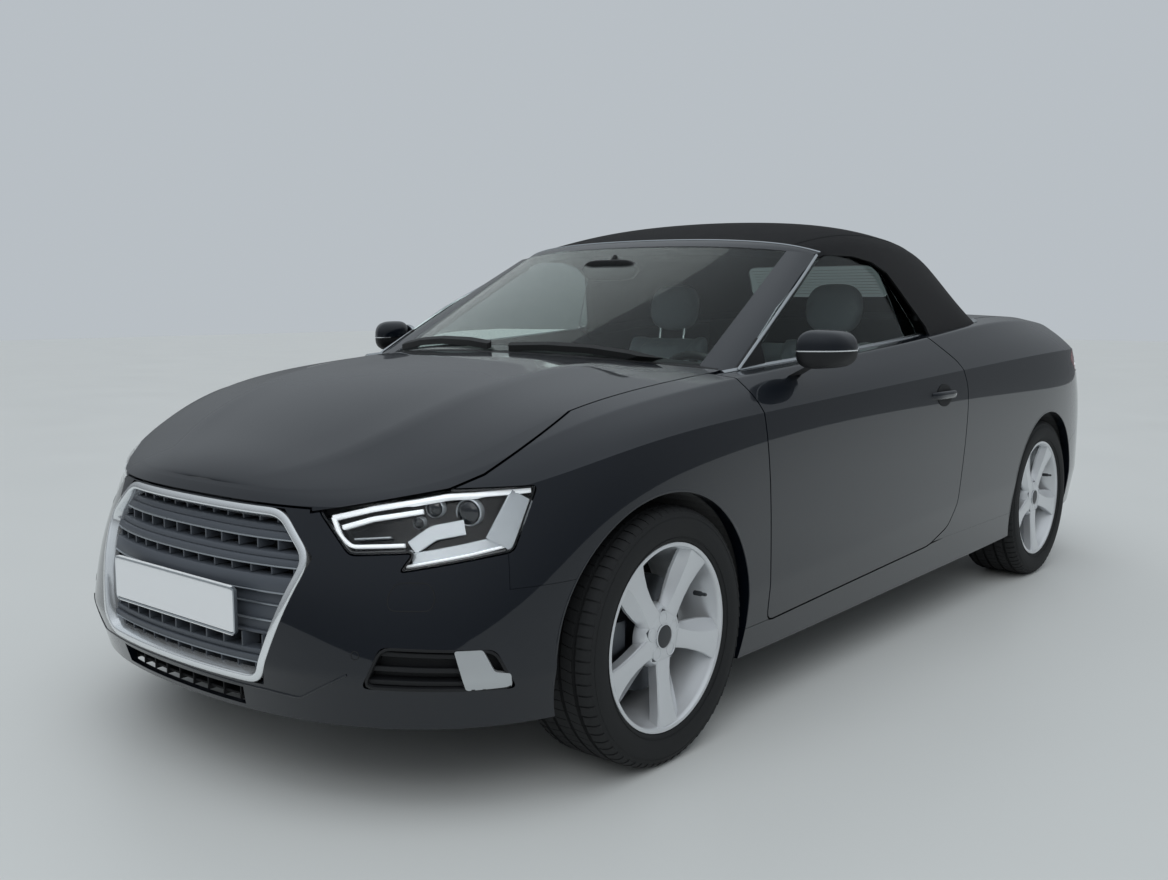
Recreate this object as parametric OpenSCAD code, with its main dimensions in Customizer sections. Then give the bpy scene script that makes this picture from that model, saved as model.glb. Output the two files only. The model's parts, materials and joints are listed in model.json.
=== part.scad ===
/* [Overall] */
// Distance between the front and rear axles
wheelbase = 2595; // [2300:5:3100]
// From the front axle to the foremost point of the nose
front_overhang = 824; // [700:1:1000]
// From the rear axle to the rearmost point of the tail
rear_overhang = 881; // [750:1:1050]
// Width of the body at its widest
body_w = 1793; // [1500:1:2150]
// Height of the closed soft top over the ground
roof_h = 1409; // [1300:1:1600]

/* [Wheels] */
// Distance between the two front tyres' middle planes
front_track = 1555; // [1250:1:1900]
// Distance between the two rear tyres' middle planes
rear_track = 1526; // [1250:1:1900]
// Outer radius of a tyre
tyre_r = 317; // [270:1:330]
// Width of a tyre
tyre_w = 225; // [180:1:245]
// Radius of the rim's flange
rim_r = 232; // [200:1:245]
// Hub face outboard of the tyre's middle plane
wheel_offset = 48; // [35:1:55]
// Pitch circle diameter of the wheel bolts
bolt_circle = 112; // [98:1:120]
// Number of wheel bolts
bolt_count = 5; // [4:1:6]
// Number of spokes
spoke_count = 5; // [5:1:7]
// Radius of the front brake discs
disc_r = 144; // [125:1:150]

/* [Body panels] */
// Thickness of wings, bumpers and quarter panels with their inner flanges
panel_t = 34; // [20:1:45]
// Thickness of the bonnet and boot lid with their inner frames
lid_t = 26; // [18:1:40]
// Gap along every line that opens
shut_gap = 6; // [5:0.5:8]
// Seam between panels that stay together
seam = 0.5; // [0.3:0.1:0.9]
// Radius of the wheel arch openings
arch_r = 357; // [350:1:380]
// Inner face of the doors, from the middle of the car
door_inner_x = 742; // [720:1:770]

/* [Glass and top] */
// Thickness of the window glass
glass_t = 5; // [4:0.5:8]
// Thickness of the soft top with its lining and bows
top_t = 22; // [15:1:40]

/* [Number plates] */
// Width of a number plate
plate_w = 520; // [300:1:540]
// Height of a number plate
plate_h = 110; // [90:1:120]

/* [Inside] */
// Diameter of the steering wheel
steer_d = 370; // [340:1:390]
// Width of a front seat
seat_w = 500; // [440:1:540]

/* [Hidden] */

// ---------------------------------------------------------------- sizes worked out
car_l = front_overhang + wheelbase + rear_overhang;
nose_y = -car_l / 2;
tail_y = car_l / 2;
front_y = nose_y + front_overhang;
rear_y = tail_y - rear_overhang;

// The control points below are written for a car of these sizes.
REF_FRONT = -1326;
REF_REAR = 1269;
REF_TAIL = 2150;
REF_HALF = 896.5;
REF_BELT = 800;
REF_ROOF = 1409;

function place_y(y) =
  y < REF_FRONT ? front_y + (y - REF_FRONT) * front_overhang / (REF_TAIL + REF_FRONT)
  : y > REF_REAR ? rear_y + (y - REF_REAR) * rear_overhang / (REF_TAIL - REF_REAR)
  : front_y + (y - REF_FRONT) * wheelbase / (REF_REAR - REF_FRONT);
function place_x(x) = x * body_w / 2 / REF_HALF;
function place_z(z) = z <= REF_BELT ? z : REF_BELT + (z - REF_BELT) * (roof_h - REF_BELT) / (REF_ROOF - REF_BELT);
function place(p) = [place_x(p[0]), place_y(p[1]), place_z(p[2])];
function place_all(row) = [for (p = row) place(p)];
// A side-view outline point [y, z] and a plan outline point [x, y], put in place.
function side_pt(p) = [place_y(p[0]), place_z(p[1])];
function plan_pt(p) = [place_x(p[0]), place_y(p[1])];

// ---------------------------------------------------------------- smooth surfaces
function weights(t) = [pow(1 - t, 3), 3 * t * t * t - 6 * t * t + 4,
  -3 * t * t * t + 3 * t * t + 3 * t + 1, t * t * t] / 6;
function curve_at(c, t) = let (i = min(floor(t), len(c) - 4), w = weights(t - i))
  w[0] * c[i] + w[1] * c[i + 1] + w[2] * c[i + 2] + w[3] * c[i + 3];
function mirrored(p) = [-p[0], p[1], p[2]];
// A row of control points runs from the middle of the nose to the middle of the tail.
function closed_row(r) = concat([mirrored(r[1])], r, [mirrored(r[len(r) - 2])]);
function unit(v) = v / max(norm(v), 0.0001);

// Rows of the lower body's control points, from the sill up to the bonnet's side seam.
// Each runs round the left side: nose middle, corner, front wheel, door, rear wheel, tail.
ROW_Y_SIDE = [-1300, -900, -350, 300, 800, 1270, 1620];
function row(front, side_x, side_z, rear) = concat(front,
  [for (i = [0:6]) [side_x[i], ROW_Y_SIDE[i], side_z[i]]], rear);
ROW_SILL = row([[0, -2105, 205], [230, -2095, 205], [440, -2050, 205], [620, -1960, 205],
    [765, -1820, 205], [850, -1610, 205]],
  [872, 866, 862, 862, 866, 872, 858], [190, 182, 187, 197, 205, 225, 240],
  [[800, 1900, 250], [620, 2050, 255], [310, 2110, 255], [0, 2120, 255]]);
ROW_LOW = row([[0, -2140, 330], [240, -2128, 330], [460, -2080, 325], [650, -1975, 320],
    [800, -1815, 315], [875, -1610, 325]],
  [893, 888, 886, 886, 889, 893, 882], [345, 365, 385, 415, 420, 400, 390],
  [[822, 1915, 385], [640, 2080, 385], [315, 2143, 385], [0, 2154, 385]]);
ROW_MID = row([[0, -2135, 480], [235, -2120, 480], [450, -2065, 480], [645, -1945, 485],
    [800, -1785, 490], [880, -1590, 520]],
  [899, 893, 889, 889, 893, 899, 886], [560, 570, 575, 580, 590, 600, 600],
  [[826, 1915, 590], [650, 2080, 585], [320, 2143, 585], [0, 2154, 585]]);
ROW_UPPER = row([[0, -2075, 610], [225, -2070, 610], [430, -2020, 610], [625, -1895, 625],
    [785, -1745, 645], [870, -1570, 680]],
  [893, 889, 886, 886, 890, 896, 882], [715, 730, 745, 760, 770, 780, 775],
  [[820, 1900, 765], [640, 2060, 755], [315, 2120, 755], [0, 2130, 755]]);
ROW_CREASE = row([[0, -2045, 672], [225, -2040, 672], [420, -1998, 672], [610, -1885, 685],
    [765, -1745, 714], [850, -1560, 770]],
  [876, 876, 874, 872, 874, 876, 858], [811, 831, 851, 875, 895, 911, 914],
  [[795, 1860, 906], [620, 2010, 900], [305, 2070, 900], [0, 2080, 900]]);
ROW_SHOULDER = row([[0, -2037, 684], [222, -2032, 684], [412, -1988, 684], [595, -1876, 699],
    [735, -1742, 738], [808, -1555, 805]],
  [845, 850, 848, 842, 838, 832, 810], [852, 880, 905, 935, 965, 975, 970],
  [[750, 1820, 955], [600, 1960, 955], [300, 2020, 965], [0, 2030, 970]]);
ROW_FOLD = row([[0, -2031, 692], [218, -2026, 692], [402, -1980, 692], [570, -1868, 710],
    [685, -1738, 760], [745, -1545, 838]],
  [780, 806, 812, 806, 790, 765, 735], [885, 925, 955, 995, 1040, 1045, 1020],
  [[690, 1800, 995], [570, 1930, 990], [290, 1990, 1000], [0, 2000, 1005]]);
ROW_INNER = row([[0, -2024, 700], [214, -2019, 700], [390, -1970, 702], [540, -1858, 722],
    [635, -1730, 778], [685, -1535, 856]],
  [705, 725, 730, 725, 710, 690, 660], [900, 935, 960, 1000, 1052, 1060, 1038],
  [[620, 1770, 1015], [530, 1890, 1010], [280, 1950, 1015], [0, 1960, 1018]]);
// How far the bonnet and the deck rise between their two side seams.
CROWN = [0, 10, 45, 66, 66, 58, 50, 44, 30, 20, 18, 18, 16, 12, 6, 2, 0];
// Rows in order, with repeats where an edge is held or a crease is sharp.
ROWS = [ROW_SILL, ROW_SILL, ROW_SILL, ROW_LOW, ROW_LOW, ROW_MID, ROW_UPPER,
  ROW_CREASE, ROW_CREASE, ROW_CREASE, ROW_SHOULDER, ROW_FOLD, ROW_FOLD,
  ROW_INNER, ROW_INNER, ROW_INNER];
// How each row moves for a solid that lies inside: share of the inset in plan and in height.
ROW_INSET = [[1, 0], [1, 0], [1, 0], [1, 0], [1, 0], [1, 0], [1, 0],
  [0.95, 0.3], [0.95, 0.3], [0.95, 0.3], [0.8, 0.65], [0.4, 0.95], [0.4, 0.95],
  [0.1, 1], [0.1, 1], [0.1, 1]];
LAST_COLUMN = len(ROW_SILL) - 1;

// Outward direction in plan at control point i of a row.
function plan_normal(r, i) = let (n = len(r) - 1,
    a = i == 0 ? mirrored(r[1]) : r[i - 1], b = i == n ? mirrored(r[n - 1]) : r[i + 1],
    d = unit([b[0] - a[0], b[1] - a[1], 0])) [d[1], -d[0], 0];
function inset_row(r, k, d) = [for (i = [0:len(r) - 1])
  r[i] - plan_normal(r, i) * d * ROW_INSET[k][0] - [0, 0, d * ROW_INSET[k][1]]];
// Control rows in place, moved inwards by d, with the lowest edge taken down by drop.
function body_rows(d, drop) = [for (k = [0:len(ROWS) - 1])
  closed_row([for (p = inset_row(place_all(ROWS[k]), k, d)) k < 3 ? p - [0, 0, drop] : p])];
CROWN_ROW = concat([CROWN[1]], CROWN, [CROWN[LAST_COLUMN - 1]]);

// One closed solid of the lower body, nose to tail. The first and last sections lie in the
// middle plane, and the others are loops: up the left side, over, down the right and under.
module body_solid(d = 0, drop = 0, per_column = 2, per_row = 2, across = 8) {
  rows = body_rows(d, drop);
  n = LAST_COLUMN * per_column;
  m = (len(rows) - 3) * per_row;
  over = across - 1;
  loop = 2 * (m + 1) + 2 * over;
  sides = [for (i = [0:n]) let (column = [for (r = rows) curve_at(r, i / per_column)])
    [for (j = [0:m]) curve_at(column, j / per_row)]];
  // A loop: left side, top from left to right, right side downwards, bottom back to the left.
  function section(i) = let (s = sides[i], top = s[m], low = s[0],
      rise = curve_at(CROWN_ROW, i / per_column))
    concat(s, [for (k = [1:over]) let (f = 1 - 2 * k / across)
        [top[0] * f, top[1], top[2] + rise * (1 - f * f)]],
      [for (j = [m:-1:0]) mirrored(s[j])],
      [for (k = [1:over]) let (f = -1 + 2 * k / across) [low[0] * f, low[1], low[2]]]);
  points = concat([for (p = sides[0]) [0, p[1], p[2]]], [for (i = [1:n - 1]) each section(i)],
    [for (p = sides[n]) [0, p[1], p[2]]]);
  function at(i, k) = (m + 1) + (i - 1) * loop + k % loop;
  function right(j) = (m + 1) + over + (m - j);
  last = (m + 1) + (n - 1) * loop;
  faces = concat(
    [for (i = [1:n - 2], k = [0:loop - 1]) each [[at(i, k), at(i, k + 1), at(i + 1, k + 1)],
      [at(i, k), at(i + 1, k + 1), at(i + 1, k)]]],
    [for (j = [0:m - 1]) each [
      [j, j + 1, at(1, j + 1)], [j, at(1, j + 1), at(1, j)],
      [j + 1, j, at(1, right(j))], [j + 1, at(1, right(j)), at(1, right(j + 1))],
      [last + j + 1, last + j, at(n - 1, j)], [last + j + 1, at(n - 1, j), at(n - 1, j + 1)],
      [last + j, last + j + 1, at(n - 1, right(j + 1))],
      [last + j, at(n - 1, right(j + 1)), at(n - 1, right(j))]]],
    [for (k = [0:over]) each [[m, at(1, m + k + 1), at(1, m + k)],
      [0, at(1, right(0) + k + 1), at(1, right(0) + k)],
      [last + m, at(n - 1, m + k), at(n - 1, m + k + 1)],
      [last, at(n - 1, right(0) + k), at(n - 1, right(0) + k + 1)]]]);
  polyhedron(points, faces, convexity = 8);
}

// The same car body as a shell, open below.
module body_shell(t) {
  difference() {
    body_solid();
    body_solid(t, 150, 2, 1, 4);
  }
}

// Keeps a panel's cuts together in one watertight piece, at its own size.
module panel() { resize([0, 0, 0]) children(); }

module both_sides() { children(); mirror([1, 0, 0]) children(); }
module side(s) { if (s > 0) children(); else mirror([1, 0, 0]) children(); }

// A side-view outline of [y, z] points, as a bar across the left half from x0 to x1.
module side_bar(points, x0, x1) {
  translate([x0, 0, 0]) rotate([90, 0, 90]) linear_extrude(x1 - x0) polygon(points);
}
// The same with 2D children, drawn in [y, z].
module side_bar_2d(x0, x1) { translate([x0, 0, 0]) rotate([90, 0, 90]) linear_extrude(x1 - x0) children(); }
module box(x0, x1, y0, y1, z0, z1) { translate([x0, y0, z0]) cube([x1 - x0, y1 - y0, z1 - z0]); }

// ---------------------------------------------------------------- outlines of the openings
// Side views are [y, z] and plans are [x, y].
DOOR = [for (p = [[-868, 262], [-893, 704], [-898, 827], [-914, 918], [-916, 1000], [150, 1080],
  [262, 1006], [412, 905], [446, 830], [446, 780], [424, 655], [395, 506], [378, 420],
  [319, 344], [173, 299]]) side_pt(p)];
WING = [for (p = [[-1550, 519], [-1777, 508], [-1768, 586], [-1845, 712], [-1845, 1100],
  [-700, 1100], [-700, 300], [-860, 300], [-860, 263], [-1200, 263]]) side_pt(p)];
SILL = [for (p = [[-1200, 120], [-1200, 262], [-868, 262], [173, 299], [300, 305], [1200, 305],
  [1200, 120]]) side_pt(p)];
QUARTER = [for (p = [[180, 305], [180, 1200], [2300, 1200], [2300, 740], [1820, 740], [1700, 560],
  [1560, 520], [1500, 305]]) side_pt(p)];
// The door's end faces slope, so that its inner edge clears the post as it swings.
DOOR_SLOPE = 0.14;
ARCH_FORWARD = 10;
arch_centres = [front_y - ARCH_FORWARD, rear_y];
COWL_LINE = [for (p = [[-760, -850], [-660, -898], [-520, -950], [-350, -1008], [0, -1045],
  [350, -1008], [520, -950], [660, -898], [760, -850]]) plan_pt(p)];
TONNEAU_Y = place_y(1330);
LID_HALF_W = 520;
LID_FOOT_Z = 640;
LID_FOOT_Y = place_y(1700);

// The line of the inner row in plan: the side seam of the bonnet and the deck.
function inner_line() = let (r = closed_row(place_all(ROW_INNER)), n = LAST_COLUMN * 4)
  [for (i = [0:n]) let (p = curve_at(r, i / 4)) [p[0], p[1]]];
module inside_plan(grow) {
  line = inner_line();
  n = len(line) - 1;
  translate([0, 0, 400]) linear_extrude(1200) offset(delta = grow)
    polygon(concat(line, [for (i = [n - 1:-1:1]) [-line[i][0], line[i][1]]]));
}
module door_bar(grow, x0 = 500, x1 = 1000) {
  multmatrix([[1, 0, 0, 0], [DOOR_SLOPE, 1, 0, -DOOR_SLOPE * body_w / 2], [0, 0, 1, 0]])
    side_bar_2d(x0, x1) offset(delta = grow) polygon(DOOR);
}
module arches(r) {
  for (y = arch_centres) translate([0, y, tyre_r]) rotate([0, 90, 0])
    cylinder(h = 2400, r = r, center = true, $fn = 72);
}
// Headlamp outline, seen square to the corner of the nose.
LAMP_PTS = [[420, -2002, 664], [420, -2002, 780], [660, -1838, 780], [660, -1838, 716],
  [800, -1708, 724], [785, -1768, 586], [560, -1891, 545], [600, -1887, 585], [480, -1964, 577]];
// A bar through a corner of the left side: s is 1 at the nose and -1 at the tail.
module corner_bar(points, s, grow) {
  rotate([0, 0, s * 45]) rotate([90, 0, 0]) translate([0, 0, s > 0 ? 0 : -3000])
    linear_extrude(3000) offset(delta = grow)
      polygon([for (p = points) let (q = place(p)) [(q[0] + s * q[1]) * sqrt(0.5), q[2]]]);
}
module lamp_bar(grow) corner_bar(LAMP_PTS, 1, grow);
// Tail lamp outline, seen square to the corner of the tail.
TAIL_PTS = [[870, 1640, 868], [850, 1760, 800], [760, 1900, 790], [526, 2060, 790],
  [526, 2060, 905], [760, 1880, 912], [860, 1700, 905]];
module tail_bar(grow) corner_bar(TAIL_PTS, -1, grow);
// All that the boot lid covers.
module lid_region(grow) {
  intersection() {
    inside_plan(grow);
    box(-1000, 1000, TONNEAU_Y - grow, tail_y + 100, 300, 1500);
  }
  box(-LID_HALF_W - grow, LID_HALF_W + grow, LID_FOOT_Y - grow, tail_y + 100,
    LID_FOOT_Z - grow, 1500);
}

// ---------------------------------------------------------------- grille and air intakes
// Six-sided opening in the nose, [x, z].
GRILLE = [[-323, 664], [323, 664], [427, 568], [327, 279], [-327, 279], [-427, 568]];
FRAME_W = 20;
INTAKE_PTS = [[600, -1990, 392], [790, -1830, 382], [815, -1790, 292], [560, -2010, 300]];
module grille_bar(grow) {
  translate([0, nose_y + 330, 0]) rotate([90, 0, 0]) linear_extrude(400)
    offset(delta = grow) polygon([for (p = GRILLE) [place_x(p[0]), p[1]]]);
}
module intake_bar(grow) corner_bar(INTAKE_PTS, 1, grow);

// ---------------------------------------------------------------- body panels
PAINT = "#2b2f36";
module front_bumper() color(PAINT) panel() difference() {
  body_shell(panel_t);
  for (s = [1, -1]) side(s) {
    side_bar_2d(0, 1200) offset(delta = seam) polygon(WING);
    lamp_bar(seam);
    intake_bar(0);
  }
  inside_plan(shut_gap / 2);
  grille_bar(seam);
  arches(arch_r);
  box(-1200, 1200, front_y, tail_y + 200, 0, 1500);
  box(LOWER_INTAKE[0], LOWER_INTAKE[1], nose_y - 50, nose_y + 200, LOWER_INTAKE[2], LOWER_INTAKE[3]);
  // Opening in front of the towing eye's socket.
  translate([TOW_X, nose_y - 50, TOW_Z]) rotate([-90, 0, 0]) cylinder(h = 400, r = 24, $fn = 24);
}
module front_wings() color(PAINT) panel() both_sides() difference() {
  union() {
    difference() {
      body_shell(panel_t);
      inside_plan(shut_gap / 2);
    }
    // Closing plate in front of the door, in to the end of the bulkhead.
    difference() {
      intersection() {
        body_solid();
        union() {
          box(BULKHEAD_HALF, 1000, place_y(-955), place_y(-880), 262, BELT_PLATE_Z);
          for (z = HINGE_Z) box(780, 830, place_y(-900), place_y(-800), z - 30, z + 30);
        }
      }
      arches(arch_r + LINER_GAP + LINER_T + seam);
    }
  }
  lamp_bar(seam);
  arches(arch_r);
  difference() {
    door_bar(shut_gap);
    for (z = HINGE_Z) box(780, 830, bulkhead_y, place_y(-800), z - 30, z + 30);
  }
  door_bar(0.3);
  difference() {
    box(-1200, 1200, nose_y - 100, tail_y + 100, 0, 1500);
    side_bar(WING, 100, 1000);
  }
}
// Hinge line of the left door in plan, and how far its front upper corner reaches round it.
DOOR_HINGE = [890, -843];
DOOR_SWEEP = 180;
module bonnet() color(PAINT) panel() difference() {
  intersection() {
    body_shell(lid_t);
    inside_plan(-shut_gap / 2);
    translate([0, 0, 300]) linear_extrude(1200)
      polygon(concat([[-1000, nose_y - 100]], COWL_LINE, [[1000, nose_y - 100]]));
  }
  both_sides() translate([place_x(DOOR_HINGE[0]), place_y(DOOR_HINGE[1]), 300])
    cylinder(h = 1200, r = DOOR_SWEEP, $fn = 72);
}
module cowl_panel() panel() difference() {
  intersection() {
    body_shell(lid_t);
    inside_plan(-shut_gap / 2);
    box(-BULKHEAD_HALF, BULKHEAD_HALF, nose_y, place_y(-835), 500, 1200);
  }
  translate([0, 0, 300]) linear_extrude(1200) offset(delta = shut_gap + 0.5)
    polygon(concat([[-1000, nose_y - 100]], COWL_LINE, [[1000, nose_y - 100]]));
}
module door_panel() color(PAINT) panel() difference() {
  intersection() {
    body_solid();
    door_bar(0);
    box(door_inner_x, 1000, nose_y, tail_y, 200, 1200);
  }
  inside_plan(shut_gap / 2);
  // The inner lower edge is lifted by the hinge, where it swings back over the rising sill.
  box(door_inner_x - 1, 850, place_y(-880), place_y(-640), 200, 270);
  // Pocket behind the handle.
  translate([place_x(892), place_y(245), 804]) scale([0.35, 1, 0.4]) sphere(r = 62, $fn = 24);
}
module sills() color(PAINT) panel() both_sides() difference() {
  intersection() {
    body_solid();
    side_bar_2d(door_inner_x - 40, 1000) offset(delta = -seam / 2) polygon(SILL);
  }
  door_bar(shut_gap);
  arches(arch_r);
}
module rear_quarters() color(PAINT) panel() both_sides() difference() {
  union() {
    difference() {
      body_shell(panel_t);
      inside_plan(shut_gap / 2);
    }
    // Closing plate beside the rear bulkhead.
    difference() {
      intersection() {
        body_solid();
        box(REAR_HALF, 1000, rear_bulkhead_y, rear_bulkhead_y + PLATE_T, 305, REAR_PLATE_Z);
      }
      arches(arch_r + LINER_GAP + LINER_T + seam);
    }
  }
  door_bar(shut_gap);
  lid_region(shut_gap);
  tail_bar(seam);
  arches(arch_r);
  difference() {
    box(-1200, 1200, nose_y - 100, tail_y + 100, 0, 1500);
    side_bar(QUARTER, 200, 1000);
  }
}
// The foot of the soft top in plan, from the right side round the back to the left.
function top_foot() = let (r = full_row(place_all(TOP_FOOT)), n = (len(r) - 3) * 2)
  [for (i = [0:n]) let (p = curve_at(r, i / 2)) [p[0], p[1]]];
// The soft top's foot stands on the tonneau's front edge, and two hinge tabs carry the lid.
TOP_SEAT = 30;
TAB_X = [300, 350];
module tonneau() color(PAINT) panel() {
  difference() {
    intersection() {
      body_shell(lid_t);
      inside_plan(-shut_gap / 2);
      box(-1000, 1000, rear_y / 3, TONNEAU_Y - shut_gap, 500, 1500);
    }
    translate([0, 0, 400]) linear_extrude(1200) offset(delta = -TOP_SEAT)
      polygon(concat(top_foot(), [[900, 0], [-900, 0]]));
  }
  intersection() {
    body_solid(lid_t + 0.3, 0, 2, 1, 4);
    both_sides() box(TAB_X[0], TAB_X[1], TONNEAU_Y - 80, TONNEAU_Y + 40, 1005, 1200);
  }
  intersection() {
    body_solid(lid_t - 1, 0, 2, 1, 4);
    both_sides() box(TAB_X[0], TAB_X[1], TONNEAU_Y - 80, TONNEAU_Y - shut_gap - 10, 1005, 1200);
  }
}
module boot_lid() color(PAINT) panel() intersection() {
  body_shell(lid_t);
  union() {
    intersection() {
      inside_plan(-shut_gap / 2);
      box(-1000, 1000, TONNEAU_Y, tail_y + 100, 300, 1500);
    }
    box(-LID_HALF_W, LID_HALF_W, LID_FOOT_Y, tail_y + 100, LID_FOOT_Z, 1500);
  }
}
module rear_bumper() color(PAINT) panel() difference() {
  body_shell(panel_t);
  both_sides() side_bar_2d(0, 1200) offset(delta = seam) polygon(QUARTER);
  lid_region(shut_gap);
  arches(arch_r);
  box(-1200, 1200, nose_y - 100, rear_y + 200, 0, 1500);
}
module tail_lamps() color("#8c1420") panel() both_sides() difference() {
  intersection() {
    body_shell(panel_t);
    tail_bar(0);
    box(0, 1000, 1000, 3000, 305, 1200);
  }
  lid_region(shut_gap);
  inside_plan(shut_gap / 2);
}
module headlamps() color("#c9d2da") panel() both_sides() difference() {
  intersection() {
    body_shell(panel_t * 2);
    lamp_bar(0);
    box(100, 1000, nose_y, front_y, 305, 1200);
  }
  inside_plan(shut_gap / 2);
}

// Backs of the air intakes, seated on the inside of the bumper.
LOWER_INTAKE = [-260, 260, 215, 262];
module air_ducts() color("#17181a") panel() difference() {
  intersection() {
    body_solid(panel_t, 150, 2, 1, 4);
    union() {
      both_sides() intersection() {
        intake_bar(15);
        box(100, 1000, nose_y, front_y, 260, 500);
      }
      box(LOWER_INTAKE[0] - 20, LOWER_INTAKE[1] + 20, nose_y, nose_y + 200, LOWER_INTAKE[2] - 8,
        LOWER_INTAKE[3] + 10);
    }
  }
  body_solid(panel_t + 12, 150, 2, 1, 4);
}

// ---------------------------------------------------------------- glass, pillars and soft top
// Outward normals of a grid of points.
function grid_normal(g, i, j) = let (a = g[max(i - 1, 0)][j], b = g[min(i + 1, len(g) - 1)][j],
    c = g[i][max(j - 1, 0)], d = g[i][min(j + 1, len(g[0]) - 1)]) unit(cross(d - c, b - a));
// A grid on a control net: nu steps along the rows' list, nv steps along each row.
function net_grid(net, nu, nv) = let (su = len(net) - 3, sv = len(net[0]) - 3)
  [for (i = [0:nu]) let (c = [for (k = [0:len(net[0]) - 1])
      curve_at([for (r = net) place(r[k])], su * i / nu)])
    [for (j = [0:nv]) curve_at(c, sv * j / nv)]];
// A row's control points from the middle outwards, held at the outer end.
function half_row(r) = concat([mirrored(r[1])], r, [r[len(r) - 1], r[len(r) - 1]]);
function full_row(r) = let (n = len(r) - 1) concat([mirrored(r[n]), mirrored(r[n])],
  [for (i = [n:-1:1]) mirrored(r[i])], r, [r[n], r[n]]);
function held(rows) = concat([rows[0], rows[0]], rows, [rows[len(rows) - 1], rows[len(rows) - 1]]);
// A closed sheet between two distances outside the grid's surface.
module sheet(g, low, high) {
  nu = len(g) - 1;
  nv = len(g[0]) - 1;
  w = nv + 1;
  all = (nu + 1) * w;
  points = concat([for (i = [0:nu], j = [0:nv]) g[i][j] + grid_normal(g, i, j) * high],
    [for (i = [0:nu], j = [0:nv]) g[i][j] + grid_normal(g, i, j) * low]);
  rim = concat([for (j = [0:nv]) j], [for (i = [1:nu]) i * w + nv],
    [for (j = [nv - 1:-1:0]) nu * w + j], [for (i = [nu - 1:-1:1]) i * w]);
  faces = concat(
    [for (i = [0:nu - 1], j = [0:nv - 1]) let (a = i * w + j) each [
      [a, a + w + 1, a + 1], [a, a + w, a + w + 1],
      [all + a, all + a + 1, all + a + w + 1], [all + a, all + a + w + 1, all + a + w]]],
    [for (k = [0:len(rim) - 1]) let (a = rim[k], b = rim[(k + 1) % len(rim)]) each [
      [a, b, all + a], [b, all + b, all + a]]]);
  polyhedron(points, faces, convexity = 6);
}

// Windscreen, from its foot to the header, half a row each: middle to side.
SCREEN = held([
  [[0, -1012, 972], [300, -988, 965], [520, -930, 953], [640, -868, 941]],
  [[0, -690, 1146], [290, -672, 1138], [500, -628, 1122], [604, -580, 1106]],
  [[0, -352, 1304], [270, -342, 1300], [460, -310, 1290], [560, -270, 1278]]]);
PILLAR = held([
  [[640, -868, 941], [690, -868, 935], [724, -860, 931], [748, -836, 930]],
  [[604, -580, 1106], [652, -576, 1103], [686, -566, 1099], [706, -544, 1096]],
  [[560, -270, 1278], [600, -262, 1275], [622, -244, 1269], [636, -212, 1262]]]);
HEADER = held([
  [[0, -352, 1304], [270, -342, 1300], [460, -310, 1290], [560, -270, 1278], [622, -232, 1262]],
  [[0, -322, 1318], [275, -313, 1314], [460, -285, 1304], [564, -245, 1291], [630, -205, 1270]],
  [[0, -296, 1326], [280, -288, 1322], [462, -262, 1310], [566, -224, 1296], [634, -186, 1274]]]);
// Side glass surface, rows from the door up to the rail; each row runs backwards.
SIDE_GLASS = held([
  [[756, -960, 890], [762, -450, 905], [760, 0, 925], [752, 420, 950]],
  [[728, -960, 1020], [731, -450, 1020], [729, 0, 1030], [718, 420, 1040]],
  [[688, -960, 1150], [689, -450, 1150], [687, 0, 1150], [674, 420, 1150]],
  [[622, -960, 1300], [624, -450, 1300], [622, 0, 1300], [608, 420, 1300]]]);
// Side window opening, [y, z], and the line where the door glass ends.
WINDOW = [for (p = [[-842, 900], [-842, 934], [-560, 1100], [-236, 1246], [-150, 1266], [20, 1266],
  [130, 1250], [205, 1215], [330, 1030], [340, 900]]) side_pt(p)];
GLASS_SPLIT = [for (p = [[-1000, 850], [-1000, 1400], [165, 1400], [250, 850]]) side_pt(p)];
// Soft top, rows from the header back to the deck; each row runs from the middle to the belt.
TOP_FOOT = [[0, 1048, 1050], [270, 1040, 1048], [436, 1008, 1046], [545, 962, 1044],
  [628, 912, 1042], [690, 865, 1040], [748, 812, 1038]];
TOP = held([
  [[0, -295, 1326], [280, -287, 1322], [462, -261, 1310], [566, -223, 1296], [634, -185, 1274],
    [724, -182, 1110], [792, -182, 950]],
  [[0, -120, 1376], [280, -115, 1368], [466, -105, 1347], [578, -95, 1320], [638, -90, 1283],
    [726, -90, 1110], [794, -90, 955]],
  [[0, 110, 1413], [280, 112, 1404], [466, 115, 1382], [582, 120, 1346], [642, 120, 1290],
    [728, 120, 1110], [795, 120, 955]],
  [[0, 340, 1412], [280, 342, 1402], [466, 345, 1379], [582, 350, 1342], [642, 350, 1284],
    [728, 350, 1120], [794, 350, 975]],
  [[0, 560, 1388], [280, 560, 1379], [464, 560, 1357], [576, 560, 1322], [634, 560, 1266],
    [718, 560, 1135], [790, 560, 1000]],
  [[0, 745, 1350], [278, 742, 1342], [458, 730, 1322], [562, 712, 1287], [622, 700, 1236],
    [706, 690, 1135], [784, 680, 1018]],
  [[0, 862, 1290], [272, 857, 1284], [444, 838, 1266], [542, 812, 1234], [604, 792, 1190],
    [690, 772, 1118], [774, 752, 1028]],
  [[0, 960, 1190], [270, 954, 1187], [436, 930, 1174], [534, 898, 1154], [602, 868, 1130],
    [682, 830, 1095], [762, 790, 1034]],
  TOP_FOOT]);
REAR_WINDOW = [[-330, 1135], [330, 1135], [300, 1262], [-300, 1262]];
top_grid = net_grid([for (r = TOP) full_row(r)], 22, 24);
side_glass_grid = net_grid([for (r = SIDE_GLASS) concat([r[0], r[0]], r, [r[3], r[3]])], 6, 4);

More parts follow.
